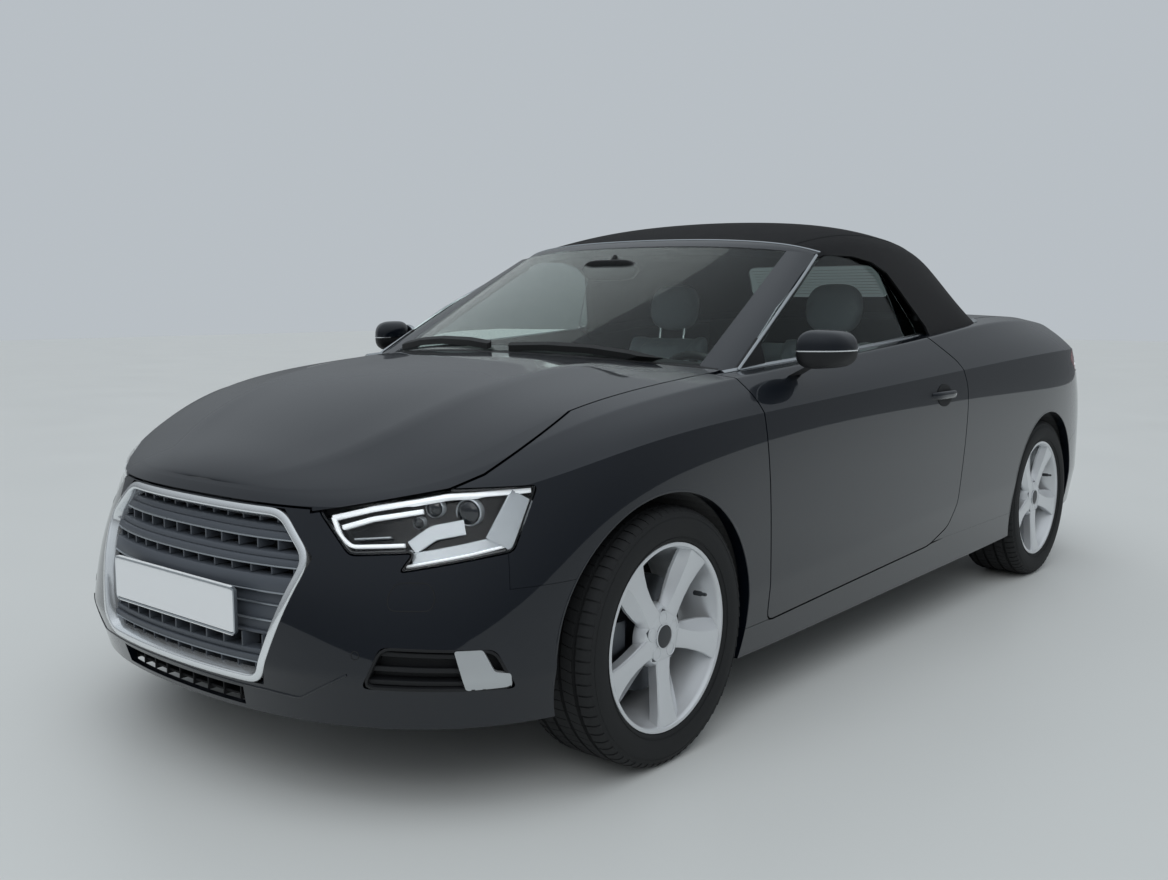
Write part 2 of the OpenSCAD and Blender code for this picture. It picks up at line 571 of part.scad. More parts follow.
module screen_grid_sheet(low, high) {
  sheet(net_grid([for (r = SCREEN) full_row(r)], 8, 14), low, high);
}
module header_sheet(low, high) {
  sheet(net_grid([for (r = HEADER) full_row(r)], 4, 16), low, high);
}
module pillar_sheet(low, high) {
  sheet(net_grid([for (r = PILLAR) concat([r[0], r[0]], r, [r[3], r[3]])], 8, 6), low, high);
}
module windscreen() color([0.3, 0.36, 0.38, 0.5]) panel() screen_grid_sheet(-glass_t, 0);
module windscreen_frame() color("#1f2226") panel() {
  difference() {
    union() {
      both_sides() pillar_sheet(-38, 0);
      header_sheet(-34, 0);
      cowl_panel();
    }
    for (d = [-0.5, 0.5]) translate([0, d, d * 0.6]) screen_grid_sheet(-glass_t - 0.9, 12);
    both_sides() window_bar(shut_gap);
    both_sides() door_bar(shut_gap);
    // The pillars' feet stand on the wings.
    difference() {
      body_solid(-0.3);
      inside_plan(0);
    }
  }
}
module window_bar(grow) side_bar_2d(560, 900) offset(delta = grow) polygon(WINDOW);
module side_glass(grow) panel() difference() {
  intersection() {
    sheet(side_glass_grid, -glass_t, 0);
    window_bar(0);
    children();
  }
  body_solid(-0.3);
}
module door_glass() color([0.3, 0.36, 0.38, 0.5]) side_glass() side_bar(GLASS_SPLIT, 500, 1000);
module quarter_glass() color([0.3, 0.36, 0.38, 0.5]) both_sides() side_glass() difference() {
  box(500, 1000, -500, 1000, 800, 1400);
  side_bar_2d(400, 1100) offset(delta = shut_gap) polygon(GLASS_SPLIT);
  door_bar(shut_gap, 400, 1100);
}
module rear_window_bar(grow) {
  translate([0, place_y(1100), 0]) rotate([90, 0, 0]) linear_extrude(place_y(1100) - place_y(700))
    offset(delta = grow) polygon([for (p = REAR_WINDOW) [place_x(p[0]), place_z(p[1])]]);
}
module soft_top() color("#15161a") panel() difference() {
  sheet(top_grid, -top_t, 0);
  both_sides() {
    window_bar(seam);
    intersection() {
      window_bar(shut_gap);
      side_bar_2d(400, 1100) offset(delta = shut_gap) polygon(GLASS_SPLIT);
    }
  }
  both_sides() door_bar(shut_gap);
  rear_window_bar(0);
  body_solid(-0.8);
  // The cloth ends at the header and is held clear of the pillars.
  header_sheet(-60, 20);
  header_sheet(-34, 0);
  both_sides() pillar_sheet(-44, 6);
}
module rear_window() color([0.3, 0.36, 0.38, 0.5]) panel() intersection() {
  sheet(top_grid, -glass_t - 6, -6);
  rear_window_bar(-seam);
}

// ---------------------------------------------------------------- grille
// Height and half width of each slat; the wide one lies behind the number plate.
GRILLE_SLATS = [[330, 7], [370, 7], [437, 50], [505, 7], [538, 7], [572, 7], [606, 7], [640, 7]];
GRILLE_RIBS = [-300, -150, 0, 150, 300];
// How far behind the body's surface the slats lie.
GRILLE_IN = 36;
module grille() color("#8d9196") panel() {
  // Bright frame round the opening.
  difference() {
    intersection() {
      body_solid(-4);
      grille_bar(0);
    }
    body_solid(GRILLE_IN + 4, 150, 2, 1, 4);
    grille_bar(-FRAME_W);
    inside_plan(shut_gap / 2);
  }
  // Slats and a middle rib, set back from the frame.
  difference() {
    intersection() {
      body_solid(GRILLE_IN, 0, 2, 1, 4);
      grille_bar(-FRAME_W / 2);
      union() {
        for (s = GRILLE_SLATS) box(-450, 450, nose_y, nose_y + 330, s[0] - s[1], s[0] + s[1]);
        for (x = GRILLE_RIBS) box(x - 3, x + 3, nose_y, nose_y + 330, 279, 664);
      }
    }
    body_solid(60, 150, 2, 1, 4);
    inside_plan(shut_gap / 2);
    // Room for the number plate.
    box(-plate_w / 2 - 2, plate_w / 2 + 2, nose_y - 10, PLATE_Y + PLATE_DEPTH + 0.3,
      PLATE_Z - plate_h / 2 - 2, PLATE_Z + plate_h / 2 + 2);
  }
}
PLATE_Z = 437;
PLATE_Y = nose_y + 32;
PLATE_DEPTH = 10;
REAR_PLATE_Z_MID = 760;
module plate_front() color("#e8eaec") panel() {
  box(-plate_w / 2, plate_w / 2, PLATE_Y, PLATE_Y + PLATE_DEPTH, PLATE_Z - plate_h / 2,
    PLATE_Z + plate_h / 2);
  difference() {
    box(-200, 200, PLATE_Y + PLATE_DEPTH - 1, nose_y + 120, PLATE_Z - 40, PLATE_Z + 40);
    body_solid(GRILLE_IN - 0.3, 0, 2, 1, 4);
  }
}
module plate_rear() color("#e8eaec") panel() difference() {
  box(-plate_w / 2, plate_w / 2, tail_y - 120, tail_y - 4, REAR_PLATE_Z_MID - plate_h / 2,
    REAR_PLATE_Z_MID + plate_h / 2);
  body_solid(-0.3);
}

// ---------------------------------------------------------------- structure
FLOOR_Z = 175;
FLOOR_T = 14;
BULKHEAD_HALF = 700;
// Half the width over which the cowl reaches forward past the bulkhead.
COWL_HALF = 530;
BONNET_POST = [600, 640];
BELT_PLATE_Z = 880;
// Heights of the two hinges of each door.
HINGE_Z = [400, 690];
REAR_HALF = 600;
REAR_FLOOR_Z = 320;
REAR_PLATE_Z = 980;
PLATE_T = 15;
TUNNEL_Z = FLOOR_Z + 150;
bulkhead_y = place_y(-925);
rear_bulkhead_y = place_y(1025);
floor_end_y = place_y(640);
heel_y = place_y(720);
module floor_pan() color("#26282b") {
  half = BULKHEAD_HALF;
  toe_y = bulkhead_y + 150;
  rear_y0 = place_y(900);
  difference() {
    union() {
      // Cabin floor, toe board and heel board, bent from one profile.
      side_bar([[bulkhead_y, 420], [bulkhead_y, 400], [toe_y, FLOOR_Z], [floor_end_y, FLOOR_Z],
        [heel_y, REAR_FLOOR_Z], [rear_y0, REAR_FLOOR_Z], [rear_y0, REAR_FLOOR_Z + FLOOR_T],
        [heel_y - 10, REAR_FLOOR_Z + FLOOR_T], [floor_end_y - 10, FLOOR_Z + FLOOR_T],
        [toe_y + 8, FLOOR_Z + FLOOR_T]], -half, half);
      box(-150, 150, bulkhead_y + 20, heel_y - 10, FLOOR_Z, TUNNEL_Z);
    }
    box(-120, 120, bulkhead_y - 50, heel_y - 8, FLOOR_Z - 50, TUNNEL_Z - 28);
    wheel_wells();
  }
  box(-REAR_HALF, REAR_HALF, rear_y0 - 1, place_y(1960), REAR_FLOOR_Z, REAR_FLOOR_Z + FLOOR_T);
  // Inner sills, between the wheel wells.
  well = arch_r + LINER_GAP + LINER_T + seam;
  sill_y0 = max(toe_y, arch_centres[0] + well);
  sill_y1 = min(floor_end_y, rear_y - well);
  both_sides() box(half - 60, half, sill_y0, sill_y1, FLOOR_Z, FLOOR_Z + 160);
}
// The room that the wheel liners take, for what lies between the wheels.
module wheel_wells() both_sides() for (w = [[arch_centres[0], FRONT_LINER_X - seam], [rear_y, REAR_HALF + seam]])
  translate([w[1], w[0], tyre_r]) rotate([0, 90, 0])
    cylinder(h = 500, r = arch_r + LINER_GAP + LINER_T + seam, $fn = 64);
module bulkheads() color("#26282b") panel() difference() {
  bulkhead_plates();
  wheel_wells();
}
module bulkhead_plates() {
  // The front one stands lower under the bonnet than under the fixed cowl.
  intersection() {
    body_solid(lid_t + shut_gap + 1, 0, 2, 1, 4);
    box(-BULKHEAD_HALF, BULKHEAD_HALF, bulkhead_y - PLATE_T, bulkhead_y, 400, 1000);
  }
  intersection() {
    body_solid(lid_t + 0.3, 0, 2, 1, 4);
    union() {
      box(-place_x(COWL_HALF), place_x(COWL_HALF), bulkhead_y - PLATE_T, bulkhead_y, 700, 1000);
      // Posts that carry the bonnet at its rear corners.
      both_sides() box(place_x(BONNET_POST[0]), place_x(BONNET_POST[1]), bulkhead_y - PLATE_T,
        bulkhead_y, 700, 1000);
      box(-REAR_HALF, REAR_HALF, rear_bulkhead_y, rear_bulkhead_y + PLATE_T,
        REAR_FLOOR_Z + FLOOR_T, 1100);
    }
  }
}
LINER_GAP = 4;
LINER_T = 5;
FRONT_LINER_X = 474;
module liner(y, x0, wall_z) {
  r = arch_r + LINER_GAP;
  intersection() {
    body_solid(panel_t + 0.8, 150, 2, 1, 4);
    translate([x0, y, tyre_r]) rotate([0, 90, 0]) difference() {
      cylinder(h = 500, r = r + LINER_T, $fn = 64);
      translate([0, 0, LINER_T]) cylinder(h = 500, r = r, $fn = 64);
      // The inner wall stays open below for arms and shafts.
      translate([-wall_z, -300, -1]) cube([600, 600, LINER_T + 2]);
    }
    box(0, 1000, y - 600, y + 600, 306, 1000);
  }
}
module wheel_liners() color("#17181a") panel() both_sides() {
  liner(arch_centres[0], FRONT_LINER_X, 160);
  liner(arch_centres[1], REAR_HALF, 0);
}
RAIL_X = [380, 450];
BEAM_Y = nose_y + 160;
module front_subframe() color("#3a3d40") {
  pin_x = front_track / 2 - KINGPIN_IN;
  both_sides() {
    box(RAIL_X[0], RAIL_X[1], BEAM_Y + 35, bulkhead_y - PLATE_T, 330, 430);
    // Strut tower on the rail.
    box(RAIL_X[0], FRONT_LINER_X, front_y - 60, front_y + 60, 430, 780);
    for (s = [1, -1]) translate([0, 0, tyre_r + s * ARM_Z]) {
      x0 = s > 0 ? FRONT_LINER_X - 1 : RAIL_X[0] - 1;
      box(x0, pin_x, front_y - 20, front_y + 20, -ARM_T / 2, ARM_T / 2);
      translate([pin_x, front_y, -ARM_T / 2]) cylinder(h = ARM_T, r = 20, $fn = 48);
      translate([pin_x, front_y, s > 0 ? -ARM_T / 2 - PIN_L : 0])
        cylinder(h = ARM_T / 2 + PIN_L, r = KINGPIN_R, $fn = 48);
    }
    // Legs from the rail down to the cross member.
    box(RAIL_X[0] - 70, RAIL_X[0], front_y - 60, front_y + 60, 235, 400);
  }
  box(-RAIL_X[0], RAIL_X[0], front_y - 60, front_y + 60, tyre_r - ARM_Z - ARM_T / 2, 235);
  // Crash beam with the towing eye's threaded socket, and the radiator behind it.
  difference() {
    box(-RAIL_X[1], RAIL_X[1], BEAM_Y, BEAM_Y + 35.5, 400, 480);
    translate([TOW_X, BEAM_Y - 1, TOW_Z]) rotate([-90, 0, 0]) cylinder(h = 60, r = TOW_R, $fn = 48);
  }
  box(-330, 330, BEAM_Y + 35, BEAM_Y + 70, 260, 640);
}
// The towing eye's threaded socket.
TOW_R = 9;
TOW_X = -415;
TOW_Z = 445;
ENGINE = [[-300, 300], [-1740, -1420], [300, 740]];
module engine_block() color("#6a6d70") {
  y0 = place_y(ENGINE[1][0]);
  y1 = front_y - 70;
  box(ENGINE[0][0], ENGINE[0][1], y0, y1, ENGINE[2][0], ENGINE[2][1]);
  both_sides() box(ENGINE[0][1] - 1, RAIL_X[0], y0 + 100, y0 + 180, 380, 420);
}
module exhaust() color("#85888b") {
  pipe_z = 272;
  translate([0, front_y + 62, pipe_z]) rotate([-90, 0, 0])
    cylinder(h = place_y(1780) - front_y - 62, r = 22, $fn = 48);
  box(-330, 330, place_y(1760), place_y(1960), 215, 305);
  for (x = [-250, 250]) box(x - 12, x + 12, place_y(1850), place_y(1880), 304, REAR_FLOOR_Z);
  // Tail pipes, ending short of the bumper's shell.
  tail = tail_y - panel_t - 27 - place_y(1959);
  both_sides() translate([230, place_y(1959), 262]) rotate([-90, 0, 0]) difference() {
    cylinder(h = tail, r = 32, $fn = 48);
    translate([0, 0, 10]) cylinder(h = tail, r = 29, $fn = 48);
  }
}

// ---------------------------------------------------------------- wheels and hubs
KINGPIN_IN = 27.5;
KINGPIN_R = 10;
PIN_FIT = 0.05;
PIN_L = 24;
ARM_Z = 134;
ARM_T = 12;
SPINDLE_R = 20;
BOLT_R = 7;
DISC_IN = 2;
DISC_T = 22;
REAR_DISC_R = disc_r - 8;
// Children stand at a wheel's middle, +X outwards on the side s.
module at_wheel(rear, s) {
  side(s) translate([(rear ? rear_track : front_track) / 2, rear ? rear_y : front_y, tyre_r]) children();
}
module spun(profile) { rotate([0, 90, 0]) rotate_extrude($fn = 96) polygon(profile); }
module tyre() color("#17181a") {
  h = tyre_w / 2;
  b = rim_r - 11;
  lip = rim_r + 0.5;
  outer = [[b, 18], [lip, 18], [lip + 4, 9], [b + 41, 0], [tyre_r - 30, 2], [tyre_r - 12, 9],
    [tyre_r - 3, 22], [tyre_r, 38]];
  inner = [[b, 32], [b + 12, 26], [b + 38, 14], [tyre_r - 30, 16], [tyre_r - 14, 38]];
  n = len(outer) - 1;
  m = len(inner) - 1;
  spun(concat([for (p = outer) [p[0], -h + p[1]]], [for (i = [n:-1:0]) [outer[i][0], h - outer[i][1]]],
    [for (p = inner) [p[0], h - p[1]]], [for (i = [m:-1:0]) [inner[i][0], -h + inner[i][1]]]));
}
module rim() color("#c8cbce") {
  seat = rim_r - 11.5;
  edge = tyre_w / 2 - 11;
  difference() {
    union() {
      spun([[rim_r, -edge], [rim_r, -edge + 6], [seat, -edge + 7], [seat, -edge + 38],
        [rim_r - 36, -edge + 53], [rim_r - 36, edge - 79], [seat, edge - 44], [seat, edge - 7], [rim_r, edge - 6],
        [rim_r, edge], [rim_r - 6, edge], [seat - 7, edge - 4], [seat - 7, edge - 46],
        [rim_r - 43, edge - 77], [rim_r - 43, -edge + 51], [seat - 7, -edge + 42], [seat - 7, -edge + 4],
        [rim_r - 6, -edge]]);
      translate([wheel_offset, 0, 0]) rotate([0, 90, 0]) cylinder(h = 36, r = 78, $fn = 72);
      for (i = [0:spoke_count - 1]) rotate([i * 360 / spoke_count, 0, 0])
        translate([edge - 39.5, 0, 0]) rotate([90, 0, 90]) linear_extrude(30)
          polygon([[-34, 40], [34, 40], [25, 120], [34, seat - 3], [-34, seat - 3], [-25, 120]]);
    }
    rotate([0, 90, 0]) cylinder(h = 200, r = 28, $fn = 48);
    for (i = [0:bolt_count - 1]) rotate([i * 360 / bolt_count, 0, 0])
      translate([0, 0, bolt_circle / 2]) rotate([0, 90, 0]) {
        cylinder(h = 200, r = BOLT_R + 0.5, $fn = 32);
        translate([0, 0, wheel_offset + 20]) cylinder(h = 60, r = 14, $fn = 32);
      }
  }
}
module hub(r) color("#77797b") {
  disc_out = DISC_IN + DISC_T;
  spun([[0, -70], [SPINDLE_R, -70], [SPINDLE_R, 30], [62, 32], [62, wheel_offset - 5],
    [70, wheel_offset - 5], [70, disc_out], [75, DISC_IN], [r, DISC_IN], [r, disc_out],
    [78, disc_out], [78, wheel_offset], [27, wheel_offset], [27, wheel_offset + 24], [0, wheel_offset + 24]]);
  for (i = [0:bolt_count - 1]) rotate([i * 360 / bolt_count, 0, 0])
    translate([wheel_offset - 1, 0, bolt_circle / 2]) rotate([0, 90, 0]) {
      cylinder(h = 22, r = BOLT_R, $fn = 32);
      translate([0, 0, 21]) cylinder(h = 14, r = 12, $fn = 6);
    }
}
// Brake caliper over the disc on its forward side.
module caliper(r) {
  difference() {
    box(-36, 40, -r - 20, -r + 48, -52, 52);
    box(DISC_IN - 5, DISC_IN + DISC_T + 5, -r - 6, -r + 60, -80, 80);
  }
  box(-42, -30, -r + 20, -20, -30, 30);
}
module bearing_housing() {
  rotate([0, 90, 0]) translate([0, 0, -60]) cylinder(h = 58, r = 38, $fn = 72);
}
module knuckle() color("#55585b") {
  difference() {
    union() {
      bearing_housing();
      box(-44, -11, -24, 24, -120, 120);
      caliper(disc_r);
    }
    rotate([0, 90, 0]) cylinder(h = 300, r = SPINDLE_R + PIN_FIT, center = true, $fn = 72);
    for (s = [1, -1]) translate([-KINGPIN_IN, 0, s * 120])
      cylinder(h = 2 * (PIN_L - 8 + 2), r = KINGPIN_R + PIN_FIT, center = true, $fn = 48);
  }
}
module rear_axle() color("#3a3d40") {
  beam_y = -60;
  beam_z = 210 - tyre_r;
  for (s = [1, -1]) at_wheel(true, s) {
    difference() {
      union() {
        bearing_housing();
        caliper(REAR_DISC_R);
        box(-60, -44, beam_y - 30, 30, beam_z - 28, 40);
      }
      rotate([0, 90, 0]) cylinder(h = 300, r = SPINDLE_R + PIN_FIT, center = true, $fn = 72);
    }
  }
  half = rear_track / 2 - 60;
  translate([-half - 1, rear_y + beam_y, tyre_r + beam_z]) rotate([0, 90, 0])
    cylinder(h = 2 * half + 2, r = 28, $fn = 48);
  // Trailing arms and spring seats up to the floor.
  both_sides() {
    box(500, 560, place_y(880), rear_y + beam_y, tyre_r + beam_z - 15, tyre_r + beam_z + 15);
    box(500, 560, place_y(880), place_y(898), tyre_r + beam_z + 14, REAR_FLOOR_Z);
    box(500, 560, rear_y + beam_y - 25, rear_y + beam_y + 25, tyre_r + beam_z + 14, REAR_FLOOR_Z);
  }
}

// ---------------------------------------------------------------- mirrors
module mirror_housing() color(PAINT) panel() {
  hull() {
    translate([place_x(868), place_y(-680), 1005]) scale([0.6, 1, 1]) sphere(r = 50, $fn = 16);
    translate([place_x(948), place_y(-600), 1000]) scale([0.7, 1.5, 1]) sphere(r = 44, $fn = 16);
    translate([place_x(950), place_y(-660), 1015]) scale([0.7, 1, 1]) sphere(r = 42, $fn = 16);
  }
  difference() {
    hull() {
      translate([place_x(880), place_y(-660), 975]) cube([30, 60, 20], center = true);
      translate([place_x(822), place_y(-668), 905]) cube([30, 90, 20], center = true);
    }
    body_solid(-0.3);
  }
}

// ---------------------------------------------------------------- inside
SEAT_X = 365;
module seat() color("#6b6e73") {
  y = place_y(0);
  w = seat_w / 2;
  side_bar([[y - 190, 345], [y + 270, 332], [y + 290, 400], [y + 250, 450], [y - 150, 470],
    [y - 205, 440]], SEAT_X - w, SEAT_X + w);
  side_bar([[y + 235, 440], [y + 340, 380], [y + 500, 960], [y + 470, 1005], [y + 400, 960],
    [y + 260, 500]], SEAT_X - w, SEAT_X + w);
  side_bar([[y + 425, 1030], [y + 500, 1020], [y + 530, 1140], [y + 500, 1180], [y + 450, 1175],
    [y + 415, 1100]], SEAT_X - 130, SEAT_X + 130);
  for (x = [-60, 60]) translate([SEAT_X + x, y + 467, 970]) rotate([-8, 0, 0])
    cylinder(h = 80, r = 6, $fn = 24);
  for (x = [-170, 140]) box(SEAT_X + x, SEAT_X + x + 30, y - 150, y + 240, FLOOR_Z + FLOOR_T, 350);
}
module rear_seat() color("#6b6e73") {
  side_bar([[place_y(610), 350], [heel_y + 5, REAR_FLOOR_Z + FLOOR_T], [place_y(985), REAR_FLOOR_Z + FLOOR_T],
    [place_y(1024.5), 960], [place_y(960), 975], [place_y(900), 560], [place_y(860), 520],
    [place_y(640), 545], [place_y(600), 510]], -REAR_HALF + 10, REAR_HALF - 10);
}
STEER = [place_x(365), -430, 795];
STEER_TILT = -65;
COLUMN_R = 14;
module at_steering() {
  translate([STEER[0], place_y(STEER[1]), STEER[2]]) rotate([STEER_TILT, 0, 0]) children();
}
module dashboard() color("#24262a") {
  y0 = bulkhead_y;
  difference() {
    union() {
      side_bar([[y0, 600], [y0, 892], [y0 + 95, 892], [place_y(-760), 915], [place_y(-600), 905],
        [place_y(-560), 860], [place_y(-600), 700], [place_y(-660), 600]], -690, 690);
      at_steering() translate([0, 0, -250]) cylinder(h = 215, r = 36, $fn = 48);
    }
    at_steering() translate([0, 0, -200]) cylinder(h = 400, r = COLUMN_R + PIN_FIT, $fn = 48);
  }
  // Middle console on the tunnel.
  box(-100, 100, place_y(-660) , place_y(-90), TUNNEL_Z, 520);
  box(-100, 100, place_y(-720), place_y(-659), TUNNEL_Z, 601);
}
module steering_wheel() color("#1b1c1f") at_steering() {
  r = steer_d / 2 - 14;
  rotate_extrude($fn = 72) translate([r, 0]) circle(r = 14, $fn = 32);
  translate([0, 0, -30]) cylinder(h = 34, r = 62, $fn = 48);
  for (a = [0, 180, 270]) rotate([0, 0, a]) translate([50, -18, -14]) cube([r - 50, 36, 14]);
  translate([0, 0, -190]) cylinder(h = 161, r = COLUMN_R, $fn = 48);
}
module interior_mirror() color("#1b1c1f") panel() difference() {
  union() {
    translate([0, place_y(-470), 1222]) cube([230, 24, 62], center = true);
    translate([0, place_y(-455), 1262]) cube([30, 60, 90], center = true);
  }
  screen_grid_sheet(-glass_t - 0.3, 300);
  header_sheet(-34.3, 60);
}
// Each blade and arm lies on the foot of the windscreen.
WIPER_LINES = [[[-560, -888], [-60, -985]], [[40, -992], [560, -925]]];
module wipers() color("#111214") panel() for (line = WIPER_LINES) intersection() {
  screen_grid_sheet(0.5, 16);
  translate([0, 0, 800]) linear_extrude(400) hull()
    for (p = line) translate(plan_pt(p)) circle(r = 8, $fn = 12);
}

floor_pan();
bulkheads();
front_subframe();
wheel_liners();
front_bumper();
grille();
headlamps();
front_wings();
bonnet();
windscreen_frame();
windscreen();
side(1) door_panel();  // door_left
side(-1) door_panel();  // door_right
side(1) door_glass();  // door_glass_left
side(-1) door_glass();  // door_glass_right
side(1) mirror_housing();  // mirror_left
side(-1) mirror_housing();  // mirror_right
sills();
rear_quarters();
boot_lid();
tonneau();
rear_bumper();
tail_lamps();
soft_top();
rear_window();
quarter_glass();
side(1) seat();  // seat_front_left
side(-1) seat();  // seat_front_right
rear_seat();
dashboard();
steering_wheel();
interior_mirror();
wipers();
exhaust();
at_wheel(false, 1) tyre();  // tyre_front_left
at_wheel(false, -1) tyre();  // tyre_front_right
at_wheel(true, 1) tyre();  // tyre_rear_left
at_wheel(true, -1) tyre();  // tyre_rear_right
at_wheel(false, 1) rim();  // rim_front_left
at_wheel(false, -1) rim();  // rim_front_right
at_wheel(true, 1) rim();  // rim_rear_left
at_wheel(true, -1) rim();  // rim_rear_right
at_wheel(false, 1) hub(disc_r);  // hub_front_left
at_wheel(false, -1) hub(disc_r);  // hub_front_right
at_wheel(true, 1) hub(REAR_DISC_R);  // hub_rear_left
at_wheel(true, -1) hub(REAR_DISC_R);  // hub_rear_right
at_wheel(false, 1) knuckle();  // knuckle_left
at_wheel(false, -1) knuckle();  // knuckle_right
rear_axle();
engine_block();
plate_front();
plate_rear();
air_ducts();
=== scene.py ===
import json
import math
import bpy
import bmesh
import numpy as np
from mathutils import Matrix, Vector
from mathutils.bvhtree import BVHTree


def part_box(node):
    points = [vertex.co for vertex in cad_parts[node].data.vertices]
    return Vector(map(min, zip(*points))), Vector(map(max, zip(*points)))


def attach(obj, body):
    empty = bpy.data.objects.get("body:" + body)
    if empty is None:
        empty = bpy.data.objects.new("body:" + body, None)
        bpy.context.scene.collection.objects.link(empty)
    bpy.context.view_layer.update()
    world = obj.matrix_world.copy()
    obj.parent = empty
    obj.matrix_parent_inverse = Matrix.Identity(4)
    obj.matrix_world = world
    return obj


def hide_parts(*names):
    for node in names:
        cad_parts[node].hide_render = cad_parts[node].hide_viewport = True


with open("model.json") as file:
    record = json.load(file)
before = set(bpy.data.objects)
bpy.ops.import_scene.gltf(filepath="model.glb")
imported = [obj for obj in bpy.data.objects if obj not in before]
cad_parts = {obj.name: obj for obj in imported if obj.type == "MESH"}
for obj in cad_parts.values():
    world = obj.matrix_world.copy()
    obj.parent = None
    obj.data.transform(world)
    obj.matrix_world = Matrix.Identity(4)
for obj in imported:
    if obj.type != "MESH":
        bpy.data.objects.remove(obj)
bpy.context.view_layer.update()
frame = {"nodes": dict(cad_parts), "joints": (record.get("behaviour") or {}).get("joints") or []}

# ------------------------------------------------------------------ studio
# A plain room: one pale floor, an even grey surround and three large soft lamps.
# The camera stands ahead of the car's left front corner, a little over a metre up.
CAMERA_AT = Vector((2.481, -3.551, 1.128))
CAMERA_TURN = math.radians(40.07)
CAMERA_DIP = math.radians(6.91)
LENS_MM = 35.97
SENSOR_MM = 36.0


def linear(hex_colour):
    """An sRGB hex colour as the linear values that a shader takes."""
    parts = [int(hex_colour[i:i + 2], 16) / 255 for i in (1, 3, 5)]
    return tuple(c / 12.92 if c <= 0.04045 else ((c + 0.055) / 1.055) ** 2.4 for c in parts) + (1.0,)


def add(tree, kind, inputs=None, **settings):
    """Adds one node; inputs are values or links by socket name or place."""
    made = tree.nodes.new(kind)
    for field, value in settings.items():
        setattr(made, field, value)
    for key, value in (inputs or {}).items():
        if isinstance(value, bpy.types.NodeSocket):
            tree.links.new(value, made.inputs[key])
        else:
            made.inputs[key].default_value = value
    return made


def material(name, colour, roughness, metallic=0.0, **inputs):
    """A new material with one Principled shader; inputs set its other sockets."""
    made = bpy.data.materials.new(name)
    made.use_nodes = True
    shader = made.node_tree.nodes["Principled BSDF"]
    shader.inputs["Base Color"].default_value = linear(colour)
    shader.inputs["Roughness"].default_value = roughness
    shader.inputs["Metallic"].default_value = metallic
    for key, value in inputs.items():
        shader.inputs[key.replace("_", " ")].default_value = value
    return made


def grain(made, size_mm, height_mm, kind="ShaderNodeTexNoise", strength=1.0, **settings):
    """Gives a material bumps of a real size, read from the piece's own place."""
    tree = made.node_tree
    where = add(tree, "ShaderNodeTexCoord").outputs["Object"]
    pattern = add(tree, kind, {"Vector": where, "Scale": 1000 / size_mm}, **settings)
    bump = add(tree, "ShaderNodeBump", {"Height": pattern.outputs[0], "Distance": height_mm / 1000,
        "Strength": strength})
    tree.links.new(bump.outputs["Normal"], tree.nodes["Principled BSDF"].inputs["Normal"])


def mottle(made, size_mm, low, high):
    """Lets roughness wander between two values over patches of a real size."""
    tree = made.node_tree
    where = add(tree, "ShaderNodeTexCoord").outputs["Object"]
    noise = add(tree, "ShaderNodeTexNoise", {"Vector": where, "Scale": 1000 / size_mm, "Detail": 3.0})
    spread = add(tree, "ShaderNodeMapRange", {"Value": noise.outputs[0], "To Min": low, "To Max": high})
    tree.links.new(spread.outputs[0], tree.nodes["Principled BSDF"].inputs["Roughness"])


back = Vector((math.sin(CAMERA_TURN) * math.cos(CAMERA_DIP),
    -math.cos(CAMERA_TURN) * math.cos(CAMERA_DIP), math.sin(CAMERA_DIP)))
camera = bpy.data.objects.new("camera", bpy.data.cameras.new("camera"))
camera.location = CAMERA_AT
camera.rotation_euler = (-back).to_track_quat("-Z", "Y").to_euler()
camera.data.lens = LENS_MM
camera.data.sensor_width = SENSOR_MM
camera.data.clip_end = 200
bpy.context.scene.collection.objects.link(camera)
bpy.context.scene.camera = camera
bpy.context.scene.view_settings.view_transform = "Standard"

world = bpy.data.worlds.new("studio")
bpy.context.scene.world = world
world.use_nodes = True
sky = world.node_tree
sky.nodes["Background"].inputs["Color"].default_value = linear("#e4ecf3")
ray = add(sky, "ShaderNodeLightPath")
up = add(sky, "ShaderNodeSeparateXYZ", {0: add(sky, "ShaderNodeTexCoord").outputs["Generated"]})
wall = add(sky, "ShaderNodeMapRange", {"Value": up.outputs["Z"], "From Min": 0.0, "From Max": 0.9,
    "To Min": 0.16, "To Max": 0.75})
seen = add(sky, "ShaderNodeMix", {"Factor": ray.outputs["Is Camera Ray"], "A": wall.outputs[0], "B": 0.62},
    data_type="FLOAT")
sky.links.new(seen.outputs[0], sky.nodes["Background"].inputs["Strength"])

floor_paint = material("floor paint, rolled", "#c9cccb", 0.42)
mottle(floor_paint, 900, 0.34, 0.5)
bpy.ops.mesh.primitive_plane_add(size=60)
floor = bpy.context.object
floor.name = "floor"
floor.data.materials.append(floor_paint)

LAMPS = [("lamp_over", (0.25, -0.3, 1.0), 1.1, 70), ("lamp_front", (0.7, -1.0, 0.75), 0.6, 40),
    ("lamp_back", (-0.9, 0.8, 0.7), 0.35, 40)]
for lamp_name, way, strength, spread in LAMPS:
    lamp = bpy.data.objects.new(lamp_name, bpy.data.lights.new(lamp_name, "SUN"))
    lamp.data.energy = strength
    lamp.data.angle = math.radians(spread)
    lamp.visible_glossy = False
    lamp.location = Vector(way) * 5
    lamp.rotation_euler = Vector(way).to_track_quat("Z", "Y").to_euler()
    bpy.context.scene.collection.objects.link(lamp)

# ------------------------------------------------------------------ pressed steel body
# The outer skin is one flowing surface, pressed in steel and then split into panels.
# Rows run round the left side from the middle of the nose to the middle of the tail, in mm.
MM = 0.001
SIDE_Y = [-1300, -900, -350, 300, 800, 1270, 1620]


def skin_row(nose, side_x, side_z, tail):
    return nose + [[side_x[i], SIDE_Y[i], side_z[i]] for i in range(7)] + tail


